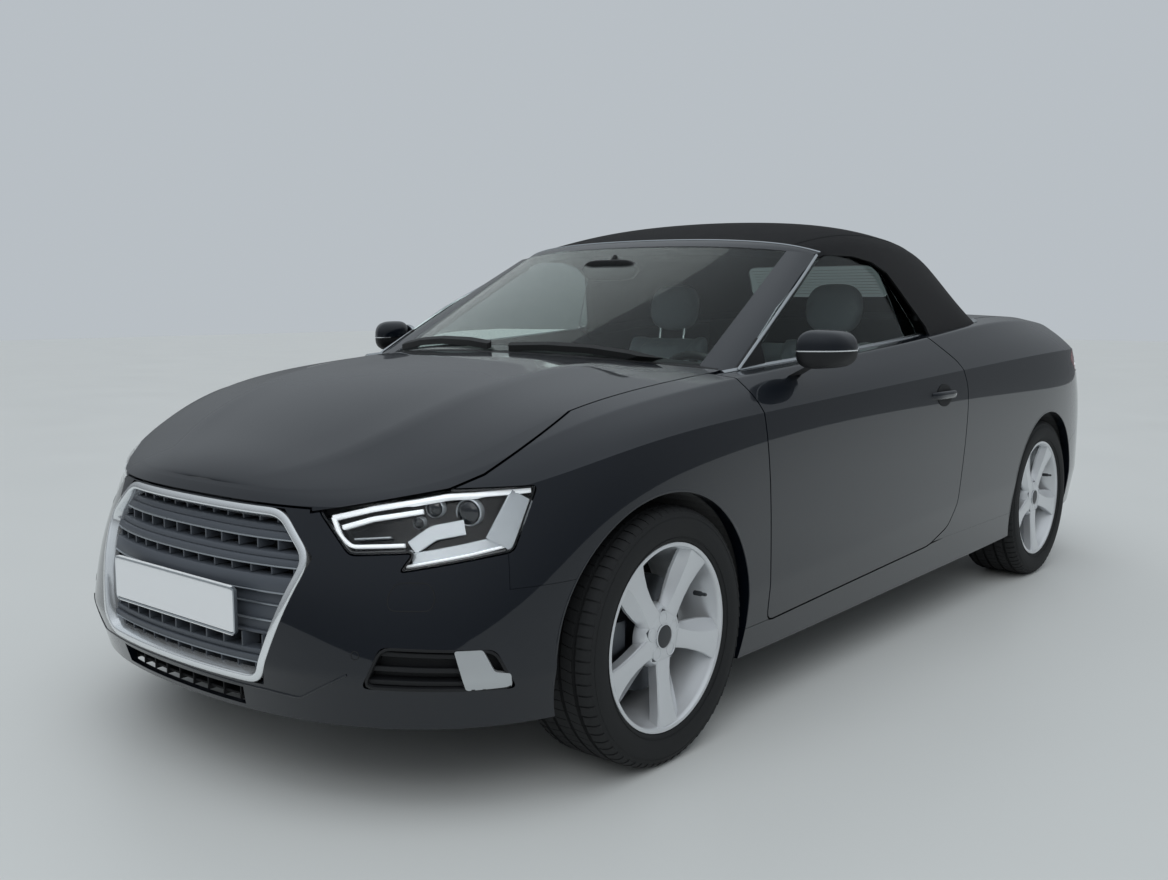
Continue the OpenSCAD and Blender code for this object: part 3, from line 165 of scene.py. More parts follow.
SILL = skin_row([[0, -2105, 205], [230, -2095, 205], [440, -2050, 205], [620, -1960, 205],
    [765, -1820, 205], [850, -1610, 205]],
  [872, 866, 862, 862, 866, 872, 858], [190, 182, 187, 197, 205, 225, 240],
  [[800, 1900, 250], [620, 2050, 255], [310, 2110, 255], [0, 2120, 255]])
LOW = skin_row([[0, -2140, 330], [240, -2128, 330], [460, -2080, 325], [650, -1975, 320],
    [800, -1815, 315], [875, -1610, 325]],
  [893, 888, 886, 886, 889, 893, 882], [345, 365, 385, 415, 420, 400, 390],
  [[822, 1915, 385], [640, 2080, 385], [315, 2143, 385], [0, 2154, 385]])
MID = skin_row([[0, -2135, 480], [235, -2120, 480], [450, -2065, 480], [645, -1945, 485],
    [800, -1785, 490], [880, -1590, 520]],
  [899, 893, 889, 889, 893, 899, 886], [560, 570, 575, 580, 590, 600, 600],
  [[826, 1915, 590], [650, 2080, 585], [320, 2143, 585], [0, 2154, 585]])
UPPER = skin_row([[0, -2075, 610], [225, -2070, 610], [430, -2020, 610], [625, -1895, 625],
    [785, -1745, 645], [870, -1570, 680]],
  [893, 889, 886, 886, 890, 896, 882], [715, 730, 745, 760, 770, 780, 775],
  [[820, 1900, 765], [640, 2060, 755], [315, 2120, 755], [0, 2130, 755]])
CREASE = skin_row([[0, -2045, 672], [225, -2040, 672], [420, -1998, 672], [610, -1885, 685],
    [765, -1745, 714], [850, -1560, 770]],
  [876, 876, 874, 872, 874, 876, 858], [811, 831, 851, 875, 895, 911, 914],
  [[795, 1860, 906], [620, 2010, 900], [305, 2070, 900], [0, 2080, 900]])
SHOULDER = skin_row([[0, -2037, 684], [222, -2032, 684], [412, -1988, 684], [595, -1876, 699],
    [735, -1742, 738], [808, -1555, 805]],
  [845, 850, 848, 842, 838, 832, 810], [852, 880, 905, 935, 965, 975, 970],
  [[750, 1820, 955], [600, 1960, 955], [300, 2020, 965], [0, 2030, 970]])
FOLD = skin_row([[0, -2031, 692], [218, -2026, 692], [402, -1980, 692], [570, -1868, 710],
    [685, -1738, 760], [745, -1545, 838]],
  [780, 806, 812, 806, 790, 765, 735], [885, 925, 955, 995, 1040, 1045, 1020],
  [[690, 1800, 995], [570, 1930, 990], [290, 1990, 1000], [0, 2000, 1005]])
INNER = skin_row([[0, -2024, 700], [214, -2019, 700], [390, -1970, 702], [540, -1858, 722],
    [635, -1730, 778], [685, -1535, 856]],
  [705, 725, 730, 725, 710, 690, 660], [900, 935, 960, 1000, 1052, 1060, 1038],
  [[620, 1770, 1015], [530, 1890, 1010], [280, 1950, 1015], [0, 1960, 1018]])
# How far the bonnet and the deck rise between their two side seams.
CROWN = [0, 10, 45, 66, 66, 58, 50, 44, 30, 20, 18, 18, 16, 12, 6, 2, 0]
SKIN = [SILL, SILL, SILL, LOW, LOW, MID, UPPER, CREASE, CREASE, CREASE, SHOULDER, FOLD, FOLD,
    INNER, INNER, INNER]
# Shares of an inset in plan and in height, row by row.
SKIN_INSET = [(1, 0)] * 7 + [(0.95, 0.3)] * 3 + [(0.8, 0.65)] + [(0.4, 0.95)] * 2 + [(0.1, 1)] * 3
PER_COLUMN = 9
PER_ROW = 6
ACROSS = 40
# Two pressed lines on the bonnet: their place and spread as shares of its half width, and their
# height. They come up behind the nose and fade away ahead of the windscreen.
BONNET_LINE, BONNET_LINE_SPREAD, BONNET_LINE_H = 0.60, 0.22, 7
LINE_START, LINE_COMES_IN = -2000, 250
LINE_END, LINE_FADES_IN = -950, 200


def spline_weights(count, samples):
    """Weights of a uniform cubic B-spline over count control points at so many places."""
    table = np.zeros((samples + 1, count))
    for k in range(samples + 1):
        t = (count - 3) * k / samples
        i = min(int(t), count - 4)
        t -= i
        table[k, i:i + 4] = [(1 - t) ** 3, 3 * t ** 3 - 6 * t ** 2 + 4,
            -3 * t ** 3 + 3 * t ** 2 + 3 * t + 1, t ** 3]
    return table / 6


def mirrored(points):
    return np.asarray(points, float) * (-1, 1, 1)


def skin_net(inset, drop):
    """Control points of the left side, moved inwards by inset and taken down by drop."""
    net = []
    for k, row in enumerate(SKIN):
        row = np.array(row, float)
        ends = np.vstack([mirrored(row[1]), row, mirrored(row[-2])])
        along = ends[2:, :2] - ends[:-2, :2]
        along /= np.linalg.norm(along, axis=1)[:, None]
        moved = row.copy()
        moved[:, 0] -= along[:, 1] * inset * SKIN_INSET[k][0]
        moved[:, 1] += along[:, 0] * inset * SKIN_INSET[k][0]
        moved[:, 2] -= inset * SKIN_INSET[k][1] + (drop if k < 3 else 0)
        net.append(np.vstack([mirrored(moved[1]), moved, mirrored(moved[-2])]))
    return np.array(net)


def skin_mesh(inset=0.0, drop=0.0, per_column=PER_COLUMN, per_row=PER_ROW, across=ACROSS):
    """One closed body, nose to tail, as a mesh in metres."""
    net = skin_net(inset, drop)
    n = (len(SILL) - 1) * per_column
    m = (len(SKIN) - 3) * per_row
    along, up_side = spline_weights(net.shape[1], n), spline_weights(net.shape[0], m)
    side = np.einsum("ic,jr,rcx->ijx", along, up_side, net)
    rise = along @ np.array([CROWN[1]] + CROWN + [CROWN[-2]], float)
    over = across - 1
    loop = 2 * (m + 1) + 2 * over
    points = [(0, p[1], p[2]) for p in side[0]]
    for i in range(1, n):
        s, top, low = side[i], side[i][m], side[i][0]
        points += [tuple(p) for p in s]
        fade = (min(max((LINE_END - top[1]) / LINE_FADES_IN, 0), 1)
            * min(max((top[1] - LINE_START) / LINE_COMES_IN, 0), 1))
        for k in range(1, over + 1):
            f = 1 - 2 * k / across
            line = max(0.0, 1 - abs(abs(f) - BONNET_LINE) / BONNET_LINE_SPREAD) ** 2 * BONNET_LINE_H * fade
            points.append((top[0] * f, top[1], top[2] + rise[i] * (1 - f * f) + line))
        points += [(-p[0], p[1], p[2]) for p in s[::-1]]
        for k in range(1, over + 1):
            points.append((low[0] * (-1 + 2 * k / across), low[1], low[2]))
    last = len(points)
    points += [(0, p[1], p[2]) for p in side[n]]

    def at(i, k):
        return (m + 1) + (i - 1) * loop + k % loop

    def right(j):
        return m + 1 + over + m - j

    faces = [(at(i, k), at(i, k + 1), at(i + 1, k + 1), at(i + 1, k))
        for i in range(1, n - 1) for k in range(loop)]
    for j in range(m):
        faces += [(j, j + 1, at(1, j + 1), at(1, j)), (j + 1, j, at(1, right(j)), at(1, right(j + 1))),
            (last + j + 1, last + j, at(n - 1, j), at(n - 1, j + 1)),
            (last + j, last + j + 1, at(n - 1, right(j + 1)), at(n - 1, right(j)))]
    for k in range(over + 1):
        faces += [(m, at(1, m + k + 1), at(1, m + k)), (0, at(1, right(0) + k + 1), at(1, right(0) + k)),
            (last + m, at(n - 1, m + k), at(n - 1, m + k + 1)),
            (last, at(n - 1, right(0) + k), at(n - 1, right(0) + k + 1))]
    return new_mesh("skin", np.array(points) * MM, [f[::-1] for f in faces])


def new_mesh(name, points, faces):
    made = bpy.data.meshes.new(name)
    made.from_pydata([tuple(p) for p in points], [], [tuple(int(i) for i in f) for f in faces])
    made.validate()
    made.update()
    return made


def turned_out(mesh, merge=0.0):
    """Turns a closed mesh's faces outwards, once points that close together are merged."""
    shape = bmesh.new()
    shape.from_mesh(mesh)
    if merge:
        bmesh.ops.remove_doubles(shape, verts=shape.verts, dist=merge)
    bmesh.ops.recalc_face_normals(shape, faces=shape.faces)
    shape.to_mesh(mesh)
    shape.free()
    return mesh


def flipped(mesh):
    """The mesh turned into its own mirror image across the middle of the car."""
    mesh.transform(Matrix.Scale(-1, 4, (1, 0, 0)))
    mesh.flip_normals()
    return mesh


def on_side(sign, mesh):
    """The mesh as it is on the left, where sign is 1, or mirrored to the right."""
    return mesh if sign > 0 else flipped(mesh)


def turns(count):
    """Angles at even steps round a whole turn."""
    return np.linspace(0, 2 * math.pi, count + 1)[:-1]


def disc(radius, count, u=0, v=0):
    """A circle of points about (u, v)."""
    return [(u + radius * math.cos(a), v + radius * math.sin(a)) for a in turns(count)]


def tube_faces(n, m, looped=False):
    """Faces over n rings of m points; looped joins the last ring to the first."""
    return [(i * m + j, i * m + (j + 1) % m, (i + 1) % n * m + (j + 1) % m, (i + 1) % n * m + j)
        for i in range(n if looped else n - 1) for j in range(m)]


def end_faces(n, m):
    """The first and the last of n rings of m points, each filled with one face."""
    return [tuple(range(m - 1, -1, -1)), tuple(range((n - 1) * m, n * m))]


def new_object(name, mesh):
    made = bpy.data.objects.new(name, mesh)
    bpy.context.scene.collection.objects.link(made)
    return made


def finished(source):
    """Replaces an object's mesh by what its modifiers make of it."""
    bpy.context.view_layer.update()
    made = bpy.data.meshes.new_from_object(source.evaluated_get(bpy.context.evaluated_depsgraph_get()))
    source.modifiers.clear()
    source.data = made
    return source


def carve(source, *steps):
    """Cuts, joins or keeps what is common: each step is an operation and the mesh to use."""
    tools = []
    for operation, mesh in steps:
        tool = new_object("tool", mesh)
        step = source.modifiers.new(operation, "BOOLEAN")
        step.operation = operation
        step.object = tool
        step.solver = "MANIFOLD"
        tools.append(tool)
    finished(source)
    for tool in tools:
        bpy.data.objects.remove(tool)
    return source


def carved(mesh, *steps):
    """A tool that is itself carved, as a mesh."""
    made = carve(new_object("region", mesh), *steps)
    mesh = made.data
    bpy.data.objects.remove(made)
    return mesh


def outline_offset(points, grow):
    """A closed outline moved outwards by grow, with its corners kept sharp."""
    points = [np.array(p, float) for p in points]
    area = sum(a[0] * b[1] - b[0] * a[1] for a, b in zip(points, points[1:] + points[:1]))
    turn = 1 if area > 0 else -1
    moved = []
    for before, here, after in zip(points[-1:] + points[:-1], points, points[1:] + points[:1]):
        a = (here - before) / np.linalg.norm(here - before)
        b = (after - here) / np.linalg.norm(after - here)
        na, nb = np.array([a[1], -a[0]]) * turn, np.array([b[1], -b[0]]) * turn
        both = na + nb
        moved.append(here + both * grow / max(0.2, 1 + na @ nb))
    return moved


def softened(points, radius, steps=4):
    """A closed outline with each corner taken round, starting radius before it."""
    points = [np.array(p, float) for p in points]
    made = []
    for before, here, after in zip(points[-1:] + points[:-1], points, points[1:] + points[:1]):
        r = min(radius, 0.45 * np.linalg.norm(here - before), 0.45 * np.linalg.norm(after - here))
        a = here + (before - here) / np.linalg.norm(before - here) * r
        b = here + (after - here) / np.linalg.norm(after - here) * r
        for k in range(steps + 1):
            t = k / steps
            made.append((1 - t) ** 2 * a + 2 * t * (1 - t) * here + t * t * b)
    return made


def bar(points, low, high, place):
    """A straight bar of the outline from low to high; place turns (u, v, depth) into x, y, z."""
    corners = [place(p[0], p[1], d) for d in (low, high) for p in points]
    faces = end_faces(2, len(points)) + tube_faces(2, len(points))
    return turned_out(new_mesh("bar", np.array(corners) * MM, faces))


HALF_WIDTH = 896.5


def side_bar(points, x0, x1, lean=0.0):
    """From a side view of (y, z) points; lean slides it along the car as x grows."""
    return bar(points, x0, x1, lambda y, z, x: (x, y + lean * (abs(x) - HALF_WIDTH), z))


def plan_bar(points, z0, z1):
    return bar(points, z0, z1, lambda x, y, z: (x, y, z))


def front_bar(points, y0, y1):
    return bar(points, y0, y1, lambda x, z, y: (x, y, z))


# A left corner is seen from 45 degrees: u runs across that view, and s is 1 at the nose, -1 at the tail.
HALF = math.sqrt(0.5)


def flat(x, y, s=1):
    return (x + s * y) * HALF


def corner_bar(points, s, grow=0.0, soften=0.0):
    """Straight through a left corner of the car from an outline of (x, y, z) points."""
    seen = [(flat(p[0], p[1], s), p[2]) for p in points]
    if soften:
        seen = softened(seen, soften)
    return bar(outline_offset(seen, grow), 0, 3000, lambda u, z, d: ((u + d) * HALF, s * (u - d) * HALF, z))


def box_mesh(x0, x1, y0, y1, z0, z1):
    return plan_bar([(x0, y0), (x1, y0), (x1, y1), (x0, y1)], z0, z1)


def both(make):
    """The tool for the left side and its mirror image for the right."""
    return make(), flipped(make())


def smooth(piece, degrees=28):
    """Rounds the shading over soft edges and keeps the sharp ones."""
    piece.data.shade_smooth()
    piece.data.set_sharp_from_angle(angle=math.radians(degrees))
    return piece


def paint(piece, finish, body, degrees=28):
    """Gives a finished piece its material, smooth shading and body."""
    if finish is not None:
        piece.data.materials.clear()
        piece.data.materials.append(finish)
    smooth(piece, degrees)
    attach(piece, body)
    return piece


# Metallic lacquer over primer: dark blue-grey flakes under a deep clear coat.
car_paint = material("lacquer, metallic blue-black", "#0a1019", 0.36, 0.3, Coat_Weight=1.0,
    Coat_Roughness=0.025, Specular_IOR_Level=0.2)
grain(car_paint, 2.2, 0.02, "ShaderNodeTexVoronoi", 0.12)

# Outlines in mm: the panels along and up from the side, the cowl's edge across and along from
# above, the grille from the front, and the lamps and intake as points of the left corners.
DOOR = [(-868, 262), (-893, 704), (-898, 827), (-914, 918), (-916, 1000), (150, 1080), (262, 1006),
    (412, 905), (446, 830), (446, 780), (424, 655), (395, 506), (378, 420), (319, 344), (173, 299)]
WING = [(-1550, 519), (-1777, 508), (-1768, 586), (-1845, 712), (-1845, 1100), (-700, 1100),
    (-700, 300), (-860, 300), (-860, 263), (-1200, 263)]
SILL_SIDE = [(-1200, 120), (-1200, 262), (-868, 262), (173, 299), (300, 305), (1200, 305), (1200, 120)]
QUARTER = [(180, 305), (180, 1200), (2300, 1200), (2300, 740), (1820, 740), (1700, 560), (1560, 520),
    (1500, 305)]
COWL = [(-760, -850), (-660, -898), (-520, -950), (-350, -1008), (0, -1045), (350, -1008), (520, -950),
    (660, -898), (760, -850)]
LAMP = [(420, -2002, 664), (420, -2002, 780), (660, -1838, 780), (660, -1838, 716), (800, -1708, 724),
    (785, -1768, 586), (560, -1891, 545), (600, -1887, 585), (480, -1964, 577)]
TAIL_LAMP = [(870, 1640, 868), (850, 1760, 800), (760, 1900, 790), (526, 2060, 790), (526, 2060, 905),
    (760, 1880, 912), (860, 1700, 905)]
INTAKE = [(600, -1990, 392), (790, -1830, 382), (815, -1790, 292), (560, -2010, 300)]
GRILLE = [(-323, 664), (323, 664), (427, 568), (327, 279), (-327, 279), (-427, 568)]
LOWER_INTAKE = [(-250, 216), (250, 216), (258, 261), (-258, 261)]
FRONT_Y, REAR_Y, TYRE_R = -1326, 1269, 317
ARCH_R = 357
ARCH_AT = [FRONT_Y - 10, REAR_Y]
DOOR_LEAN = 0.14
# The gap round a moving panel, the gap between fixed ones, the wall of a panel and of a lid,
# the gap round a lamp, and how round the corners of a lamp and of an intake are.
SHUT = 5.0
SEAM = 0.9
PANEL_T = 34
LID_T = 26
LAMP_GAP = 2.0
LAMP_SOFT, CORNER_SOFT = 14, 18
DOOR_INNER = 742
LID_FRONT = 1330
LID_HALF, LID_FOOT = 520, 640


def inner_line():
    """The side seam of the bonnet and the deck, seen from above."""
    row = np.array(INNER, float)
    closed = np.vstack([mirrored(row[1]), row, mirrored(row[-2])])
    return (spline_weights(len(closed), (len(row) - 1) * 8) @ closed)[:, :2]


def inside_plan(grow):
    line = inner_line()
    return plan_bar(outline_offset(list(line) + [(-p[0], p[1]) for p in line[-2:0:-1]], grow), 400, 1600)


def door_bar(grow):
    return side_bar(outline_offset(softened(DOOR, 28, 3), grow), 500, 1000, DOOR_LEAN)


def inner_skin(depth):
    """The skin moved inwards, a little coarser, and taken down so that the shell is open below."""
    return skin_mesh(depth, 150, 4, 3, 16)


def shell(thickness):
    """The body hollowed from below, with walls of that thickness."""
    return carve(new_object("shell", skin_mesh()), ("DIFFERENCE", inner_skin(thickness)))


thick_shell, thin_shell, whole_body = shell(PANEL_T), shell(LID_T), new_object("body", skin_mesh())


def panel(name, source, body, steps):
    """A painted panel cut from a shared shell."""
    return paint(carve(new_object(name, source.data.copy()), *steps), car_paint, body)


def cut(*meshes):
    return [("DIFFERENCE", mesh) for mesh in meshes]


def keep(mesh):
    return [("INTERSECT", mesh)]


def pair(make):
    """The left tool and its mirror image as one mesh."""
    left, right = both(make)
    shape = bmesh.new()
    shape.from_mesh(left)
    shape.from_mesh(right)
    shape.to_mesh(left)
    shape.free()
    return left


def arches(*at):
    return [pair(lambda: side_bar(disc(ARCH_R, 96, y, TYRE_R), 300, 1200)) for y in at]


def lid_region(grow):
    """Everything that the boot lid covers, seen from above and from behind."""
    return carved(inside_plan(grow), ("INTERSECT", box_mesh(-1000, 1000, LID_FRONT - grow, 2300, 300, 1700)),
        ("UNION", box_mesh(-LID_HALF - grow, LID_HALF + grow, 1700 - grow, 2310, LID_FOOT - grow, 1690)))


def bonnet_region(grow):
    """What the bonnet covers: inside its side seams, and down to the grille and the lamps in front."""
    nose = outline_offset([(-424, 669), (424, 669), (424, 900), (-424, 900)], grow)
    corner = [(405, -2014, 661), (660, -1838, 716), (720, -1790, 745), (900, -1600, 900), (405, -2014, 900)]
    return carved(inside_plan(grow), ("UNION", front_bar(nose, -2280, -1700)),
        ("UNION", pair(lambda: corner_bar(corner, 1, grow))))


def lamp_bars():
    return pair(lambda: corner_bar(LAMP, 1, LAMP_GAP, LAMP_SOFT))


def tail_bars(grow):
    return pair(lambda: corner_bar(TAIL_LAMP, -1, grow, CORNER_SOFT))


bumper_front = panel("bumper_skin_front", thick_shell, "car_body",
    keep(box_mesh(-1200, 1200, -2300, FRONT_Y, 0, 1500))
    + cut(pair(lambda: side_bar(outline_offset(WING, SEAM), 100, 1200)), bonnet_region(SHUT / 2), lamp_bars(),
        pair(lambda: corner_bar(INTAKE, 1, 0, CORNER_SOFT)), front_bar(GRILLE, -2300, -1820),
        front_bar(LOWER_INTAKE, -2300, -1950), *arches(ARCH_AT[0])))
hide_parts("front_bumper")
wings = panel("wings_front", thick_shell, "car_body", keep(pair(lambda: side_bar(WING, 100, 1000)))
    + cut(bonnet_region(SHUT / 2), lamp_bars(), pair(lambda: door_bar(SHUT)), *arches(ARCH_AT[0])))
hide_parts("front_wings")
quarters = panel("quarters_rear", thick_shell, "car_body", keep(pair(lambda: side_bar(QUARTER, 200, 1000)))
    + cut(inside_plan(SHUT / 2), pair(lambda: door_bar(SHUT)), lid_region(SHUT), tail_bars(LAMP_GAP),
        *arches(ARCH_AT[1])))
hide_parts("rear_quarters")
bumper_rear = panel("bumper_skin_rear", thick_shell, "car_body",
    keep(box_mesh(-1200, 1200, REAR_Y + 200, 2300, 0, 1500))
    + cut(pair(lambda: side_bar(outline_offset(QUARTER, SEAM), 100, 1200)), lid_region(SHUT),
        *arches(ARCH_AT[1])))
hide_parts("rear_bumper")
sills = panel("sill_skins", whole_body, "car_body",
    keep(pair(lambda: side_bar(outline_offset(SILL_SIDE, -SEAM / 2), DOOR_INNER - 40, 1000)))
    + cut(pair(lambda: door_bar(SHUT)), *arches(*ARCH_AT)))
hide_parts("sills")
# The bonnet's corners clear the circle that the opening door's front corner draws.
DOOR_SWING = disc(180, 64, 890, -843)
BONNET_PLAN = [(-1000, -2300)] + COWL + [(1000, -2300)]
bonnet = panel("bonnet_skin", thin_shell, "bonnet", keep(bonnet_region(-SHUT / 2))
    + cut(front_bar(outline_offset(GRILLE, 3), -2300, -1820)) + keep(plan_bar(BONNET_PLAN, 300, 1500))
    + cut(pair(lambda: plan_bar(DOOR_SWING, 300, 1500))))
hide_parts("bonnet")
boot = panel("boot_skin", thin_shell, "boot_lid", keep(lid_region(0.0)) + cut(
    box_mesh(-1200, -LID_HALF, 1900, 2300, 0, 960), box_mesh(LID_HALF, 1200, 1900, 2300, 0, 960)))
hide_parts("boot_lid")
# Each door is solid from its skin to its inner side, with a notch low down at its front.
for sign, word in ((1, "left"), (-1, "right")):
    depth = on_side(sign, box_mesh(DOOR_INNER, 1000, -2000, 2000, 200, 1300))
    notch = on_side(sign, box_mesh(DOOR_INNER - 1, 850, -880, -640, 200, 270))
    door = panel("door_skin_" + word, whole_body, "door_" + word,
        keep(on_side(sign, door_bar(0))) + keep(depth) + cut(inside_plan(SHUT / 2), notch))
    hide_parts("door_" + word)

# ------------------------------------------------------------------ cowl and tonneau
# The cowl is a fixed moulded panel under the wipers; it gets its black plastic further down.
# The tonneau is a painted steel panel that closes the body round the soft top's foot.
cowl = panel("cowl_panel", thin_shell, "car_body", keep(inside_plan(-SHUT / 2)) + keep(
    box_mesh(-700, 700, -1300, -835, 500, 1200))
    + cut(plan_bar(outline_offset(BONNET_PLAN, SHUT), 300, 1500)))
TOP_FOOT = [(0, 1048, 1050), (270, 1040, 1048), (436, 1008, 1046), (545, 962, 1044), (628, 912, 1042),
    (690, 865, 1040), (748, 812, 1038)]
TOP_SEAT = 30


def full_row(points):
    """A row from the middle outwards, continued to the other side and held at both ends."""
    points = [tuple(p) for p in points]
    other = [(-p[0], p[1], p[2]) for p in points[:0:-1]]
    return [other[0]] * 2 + other + points + [points[-1]] * 2


def held(rows):
    """Points or rows with the first and the last one repeated, so that the surface reaches them."""
    return [rows[0]] * 2 + list(rows) + [rows[-1]] * 2


def surface(rows, nu, nv):
    """A grid of points on a control net, in mm."""
    net = np.array(rows, float)
    down, over = spline_weights(net.shape[0], nu), spline_weights(net.shape[1], nv)
    return np.einsum("ir,jc,rcx->ijx", down, over, net)


def grid_normals(g):
    normal = np.cross(np.gradient(g, axis=1), np.gradient(g, axis=0))
    return normal / np.maximum(np.linalg.norm(normal, axis=2), 1e-9)[..., None]


def slab(g, low, high):
    """A closed sheet between two distances outside a grid."""
    nu, nv = g.shape[0] - 1, g.shape[1] - 1
    normal = grid_normals(g)
    points = np.concatenate([(g + normal * high).reshape(-1, 3), (g + normal * low).reshape(-1, 3)])
    w, total = nv + 1, (nu + 1) * (nv + 1)
    faces = []
    for i in range(nu):
        for j in range(nv):
            a = i * w + j
            below = total + a
            faces += [(a, a + 1, a + w + 1, a + w), (below, below + w, below + w + 1, below + 1)]
    rim = list(range(nv + 1)) + [i * w + nv for i in range(1, nu + 1)]
    rim += [nu * w + j for j in range(nv - 1, -1, -1)] + [i * w for i in range(nu - 1, 0, -1)]
    faces += [(a, total + a, total + b, b) for a, b in zip(rim, rim[1:] + rim[:1])]
    return turned_out(new_mesh("slab", points * MM, faces))


foot_line = (spline_weights(len(full_row(TOP_FOOT)), 60) @ np.array(full_row(TOP_FOOT), float))[:, :2]
cabin_opening = outline_offset([tuple(p) for p in foot_line] + [(900, 0), (-900, 0)], -TOP_SEAT)
tonneau = panel("tonneau_skin", thin_shell, "car_body", keep(inside_plan(-SHUT / 2)) + keep(
    box_mesh(-1000, 1000, REAR_Y / 3, LID_FRONT - SHUT, 500, 1500)) + cut(plan_bar(cabin_opening, 400, 1600)))
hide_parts("tonneau")

# ------------------------------------------------------------------ windscreen and its frame
# Laminated glass bonded to a steel frame that is pressed, welded and lacquered like the body.
# A black band, fired into the glass, hides the glue round the edge.
SCREEN = held([
    [(0, -1012, 972), (300, -988, 965), (520, -930, 953), (640, -868, 941)],
    [(0, -690, 1146), (290, -672, 1138), (500, -628, 1122), (604, -580, 1106)],
    [(0, -352, 1304), (270, -342, 1300), (460, -310, 1290), (560, -270, 1278)]])
PILLAR = held([
    [(640, -868, 941), (690, -868, 935), (724, -860, 931), (748, -836, 930)],
    [(604, -580, 1106), (652, -576, 1103), (686, -566, 1099), (706, -544, 1096)],
    [(560, -270, 1278), (600, -262, 1275), (622, -244, 1269), (636, -212, 1262)]])
HEADER = held([
    [(0, -352, 1304), (270, -342, 1300), (460, -310, 1290), (560, -270, 1278), (622, -232, 1262)],
    [(0, -322, 1318), (275, -313, 1314), (460, -285, 1304), (564, -245, 1291), (630, -205, 1270)],
    [(0, -296, 1326), (280, -288, 1322), (462, -262, 1310), (566, -224, 1296), (634, -186, 1274)]])
SIDE_GLASS = held([
    [(756, -960, 890), (762, -450, 905), (760, 0, 925), (752, 420, 950)],
    [(728, -960, 1020), (731, -450, 1020), (729, 0, 1030), (718, 420, 1040)],
    [(688, -960, 1150), (689, -450, 1150), (687, 0, 1150), (674, 420, 1150)],
    [(622, -960, 1300), (624, -450, 1300), (622, 0, 1300), (608, 420, 1300)]])
WINDOW = [(-842, 900), (-842, 934), (-560, 1100), (-236, 1246), (-150, 1266), (20, 1266), (130, 1250),
    (205, 1215), (330, 1030), (340, 900)]
GLASS_SPLIT = [(-1000, 850), (-1000, 1400), (165, 1400), (250, 850)]
GLASS_T = 5

screen_grid = surface([full_row(r) for r in SCREEN], 40, 60)
header_grid = surface([full_row(r) for r in HEADER], 12, 64)
pillar_grid = surface([held(r) for r in PILLAR], 40, 16)
side_grid = surface([held(r) for r in SIDE_GLASS], 30, 24)


def window_bar(grow):
    return side_bar(outline_offset(WINDOW, grow), 540, 900)


def glass_slot():
    """The room that the door's glass runs in, a little wider than the pane."""
    return carved(slab(side_grid, -GLASS_T - 4, 40), *keep(window_bar(SHUT)))


glass = material("float glass, tempered", "#dfe9e6", 0.0, 0.0, Transmission_Weight=1.0, IOR=1.2)
screen_black = material("fired ceramic edge", "#0b0c0d", 0.6, Specular_IOR_Level=0.2)
mottle(screen_black, 15, 0.52, 0.68)
clear_screen = new_object("windscreen_glass", slab(screen_grid, -GLASS_T, 0))
paint(clear_screen, glass, "car_body")
bands = [slab(g, -GLASS_T - 1.2, -GLASS_T - 0.1)
    for g in (screen_grid[:6, 3:-3], screen_grid[37:, 3:-3], screen_grid[:, :3], screen_grid[:, -3:])]
screen_band = new_object("screen_band", bands[0])
carve(screen_band, *(("UNION", band) for band in bands[1:]))
paint(screen_band, screen_black, "car_body")
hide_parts("windscreen")

frame_piece = new_object("windscreen_frame_skin", slab(header_grid, -34, 0))
carve(frame_piece, ("UNION", pair(lambda: slab(pillar_grid, -38, 0))))
carve(frame_piece, *cut(slab(screen_grid, -GLASS_T - 0.3, 12), pair(glass_slot)))
carve(frame_piece, *cut(carved(skin_mesh(), *cut(inside_plan(0)))))
paint(frame_piece, car_paint, "car_body")
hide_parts("windscreen_frame")

# ------------------------------------------------------------------ side windows
# Tempered glass, 5 mm, with a small fixed pane behind the one that the door carries.
def above_body(piece):
    """Takes away what lies inside the body's skin."""
    return carve(piece, *cut(skin_mesh(-0.3)))


def side_pane(name, body, sign, region):
    piece = carve(new_object(name, slab(side_grid, -GLASS_T, 0)), *keep(window_bar(0)), *region)
    above_body(piece)
    on_side(sign, piece.data)
    return paint(piece, glass, body)


for sign, word in ((1, "left"), (-1, "right")):
    pane = side_pane("door_pane_" + word, "door_" + word, sign, keep(side_bar(GLASS_SPLIT, 400, 1000)))
    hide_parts("door_glass_" + word)
    small = side_pane("quarter_pane_" + word, "car_body", sign, cut(
        side_bar(outline_offset(GLASS_SPLIT, SHUT), 300, 1100),
        side_bar(outline_offset(DOOR, SHUT), 300, 1100, DOOR_LEAN)))
    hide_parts("quarter_glass")

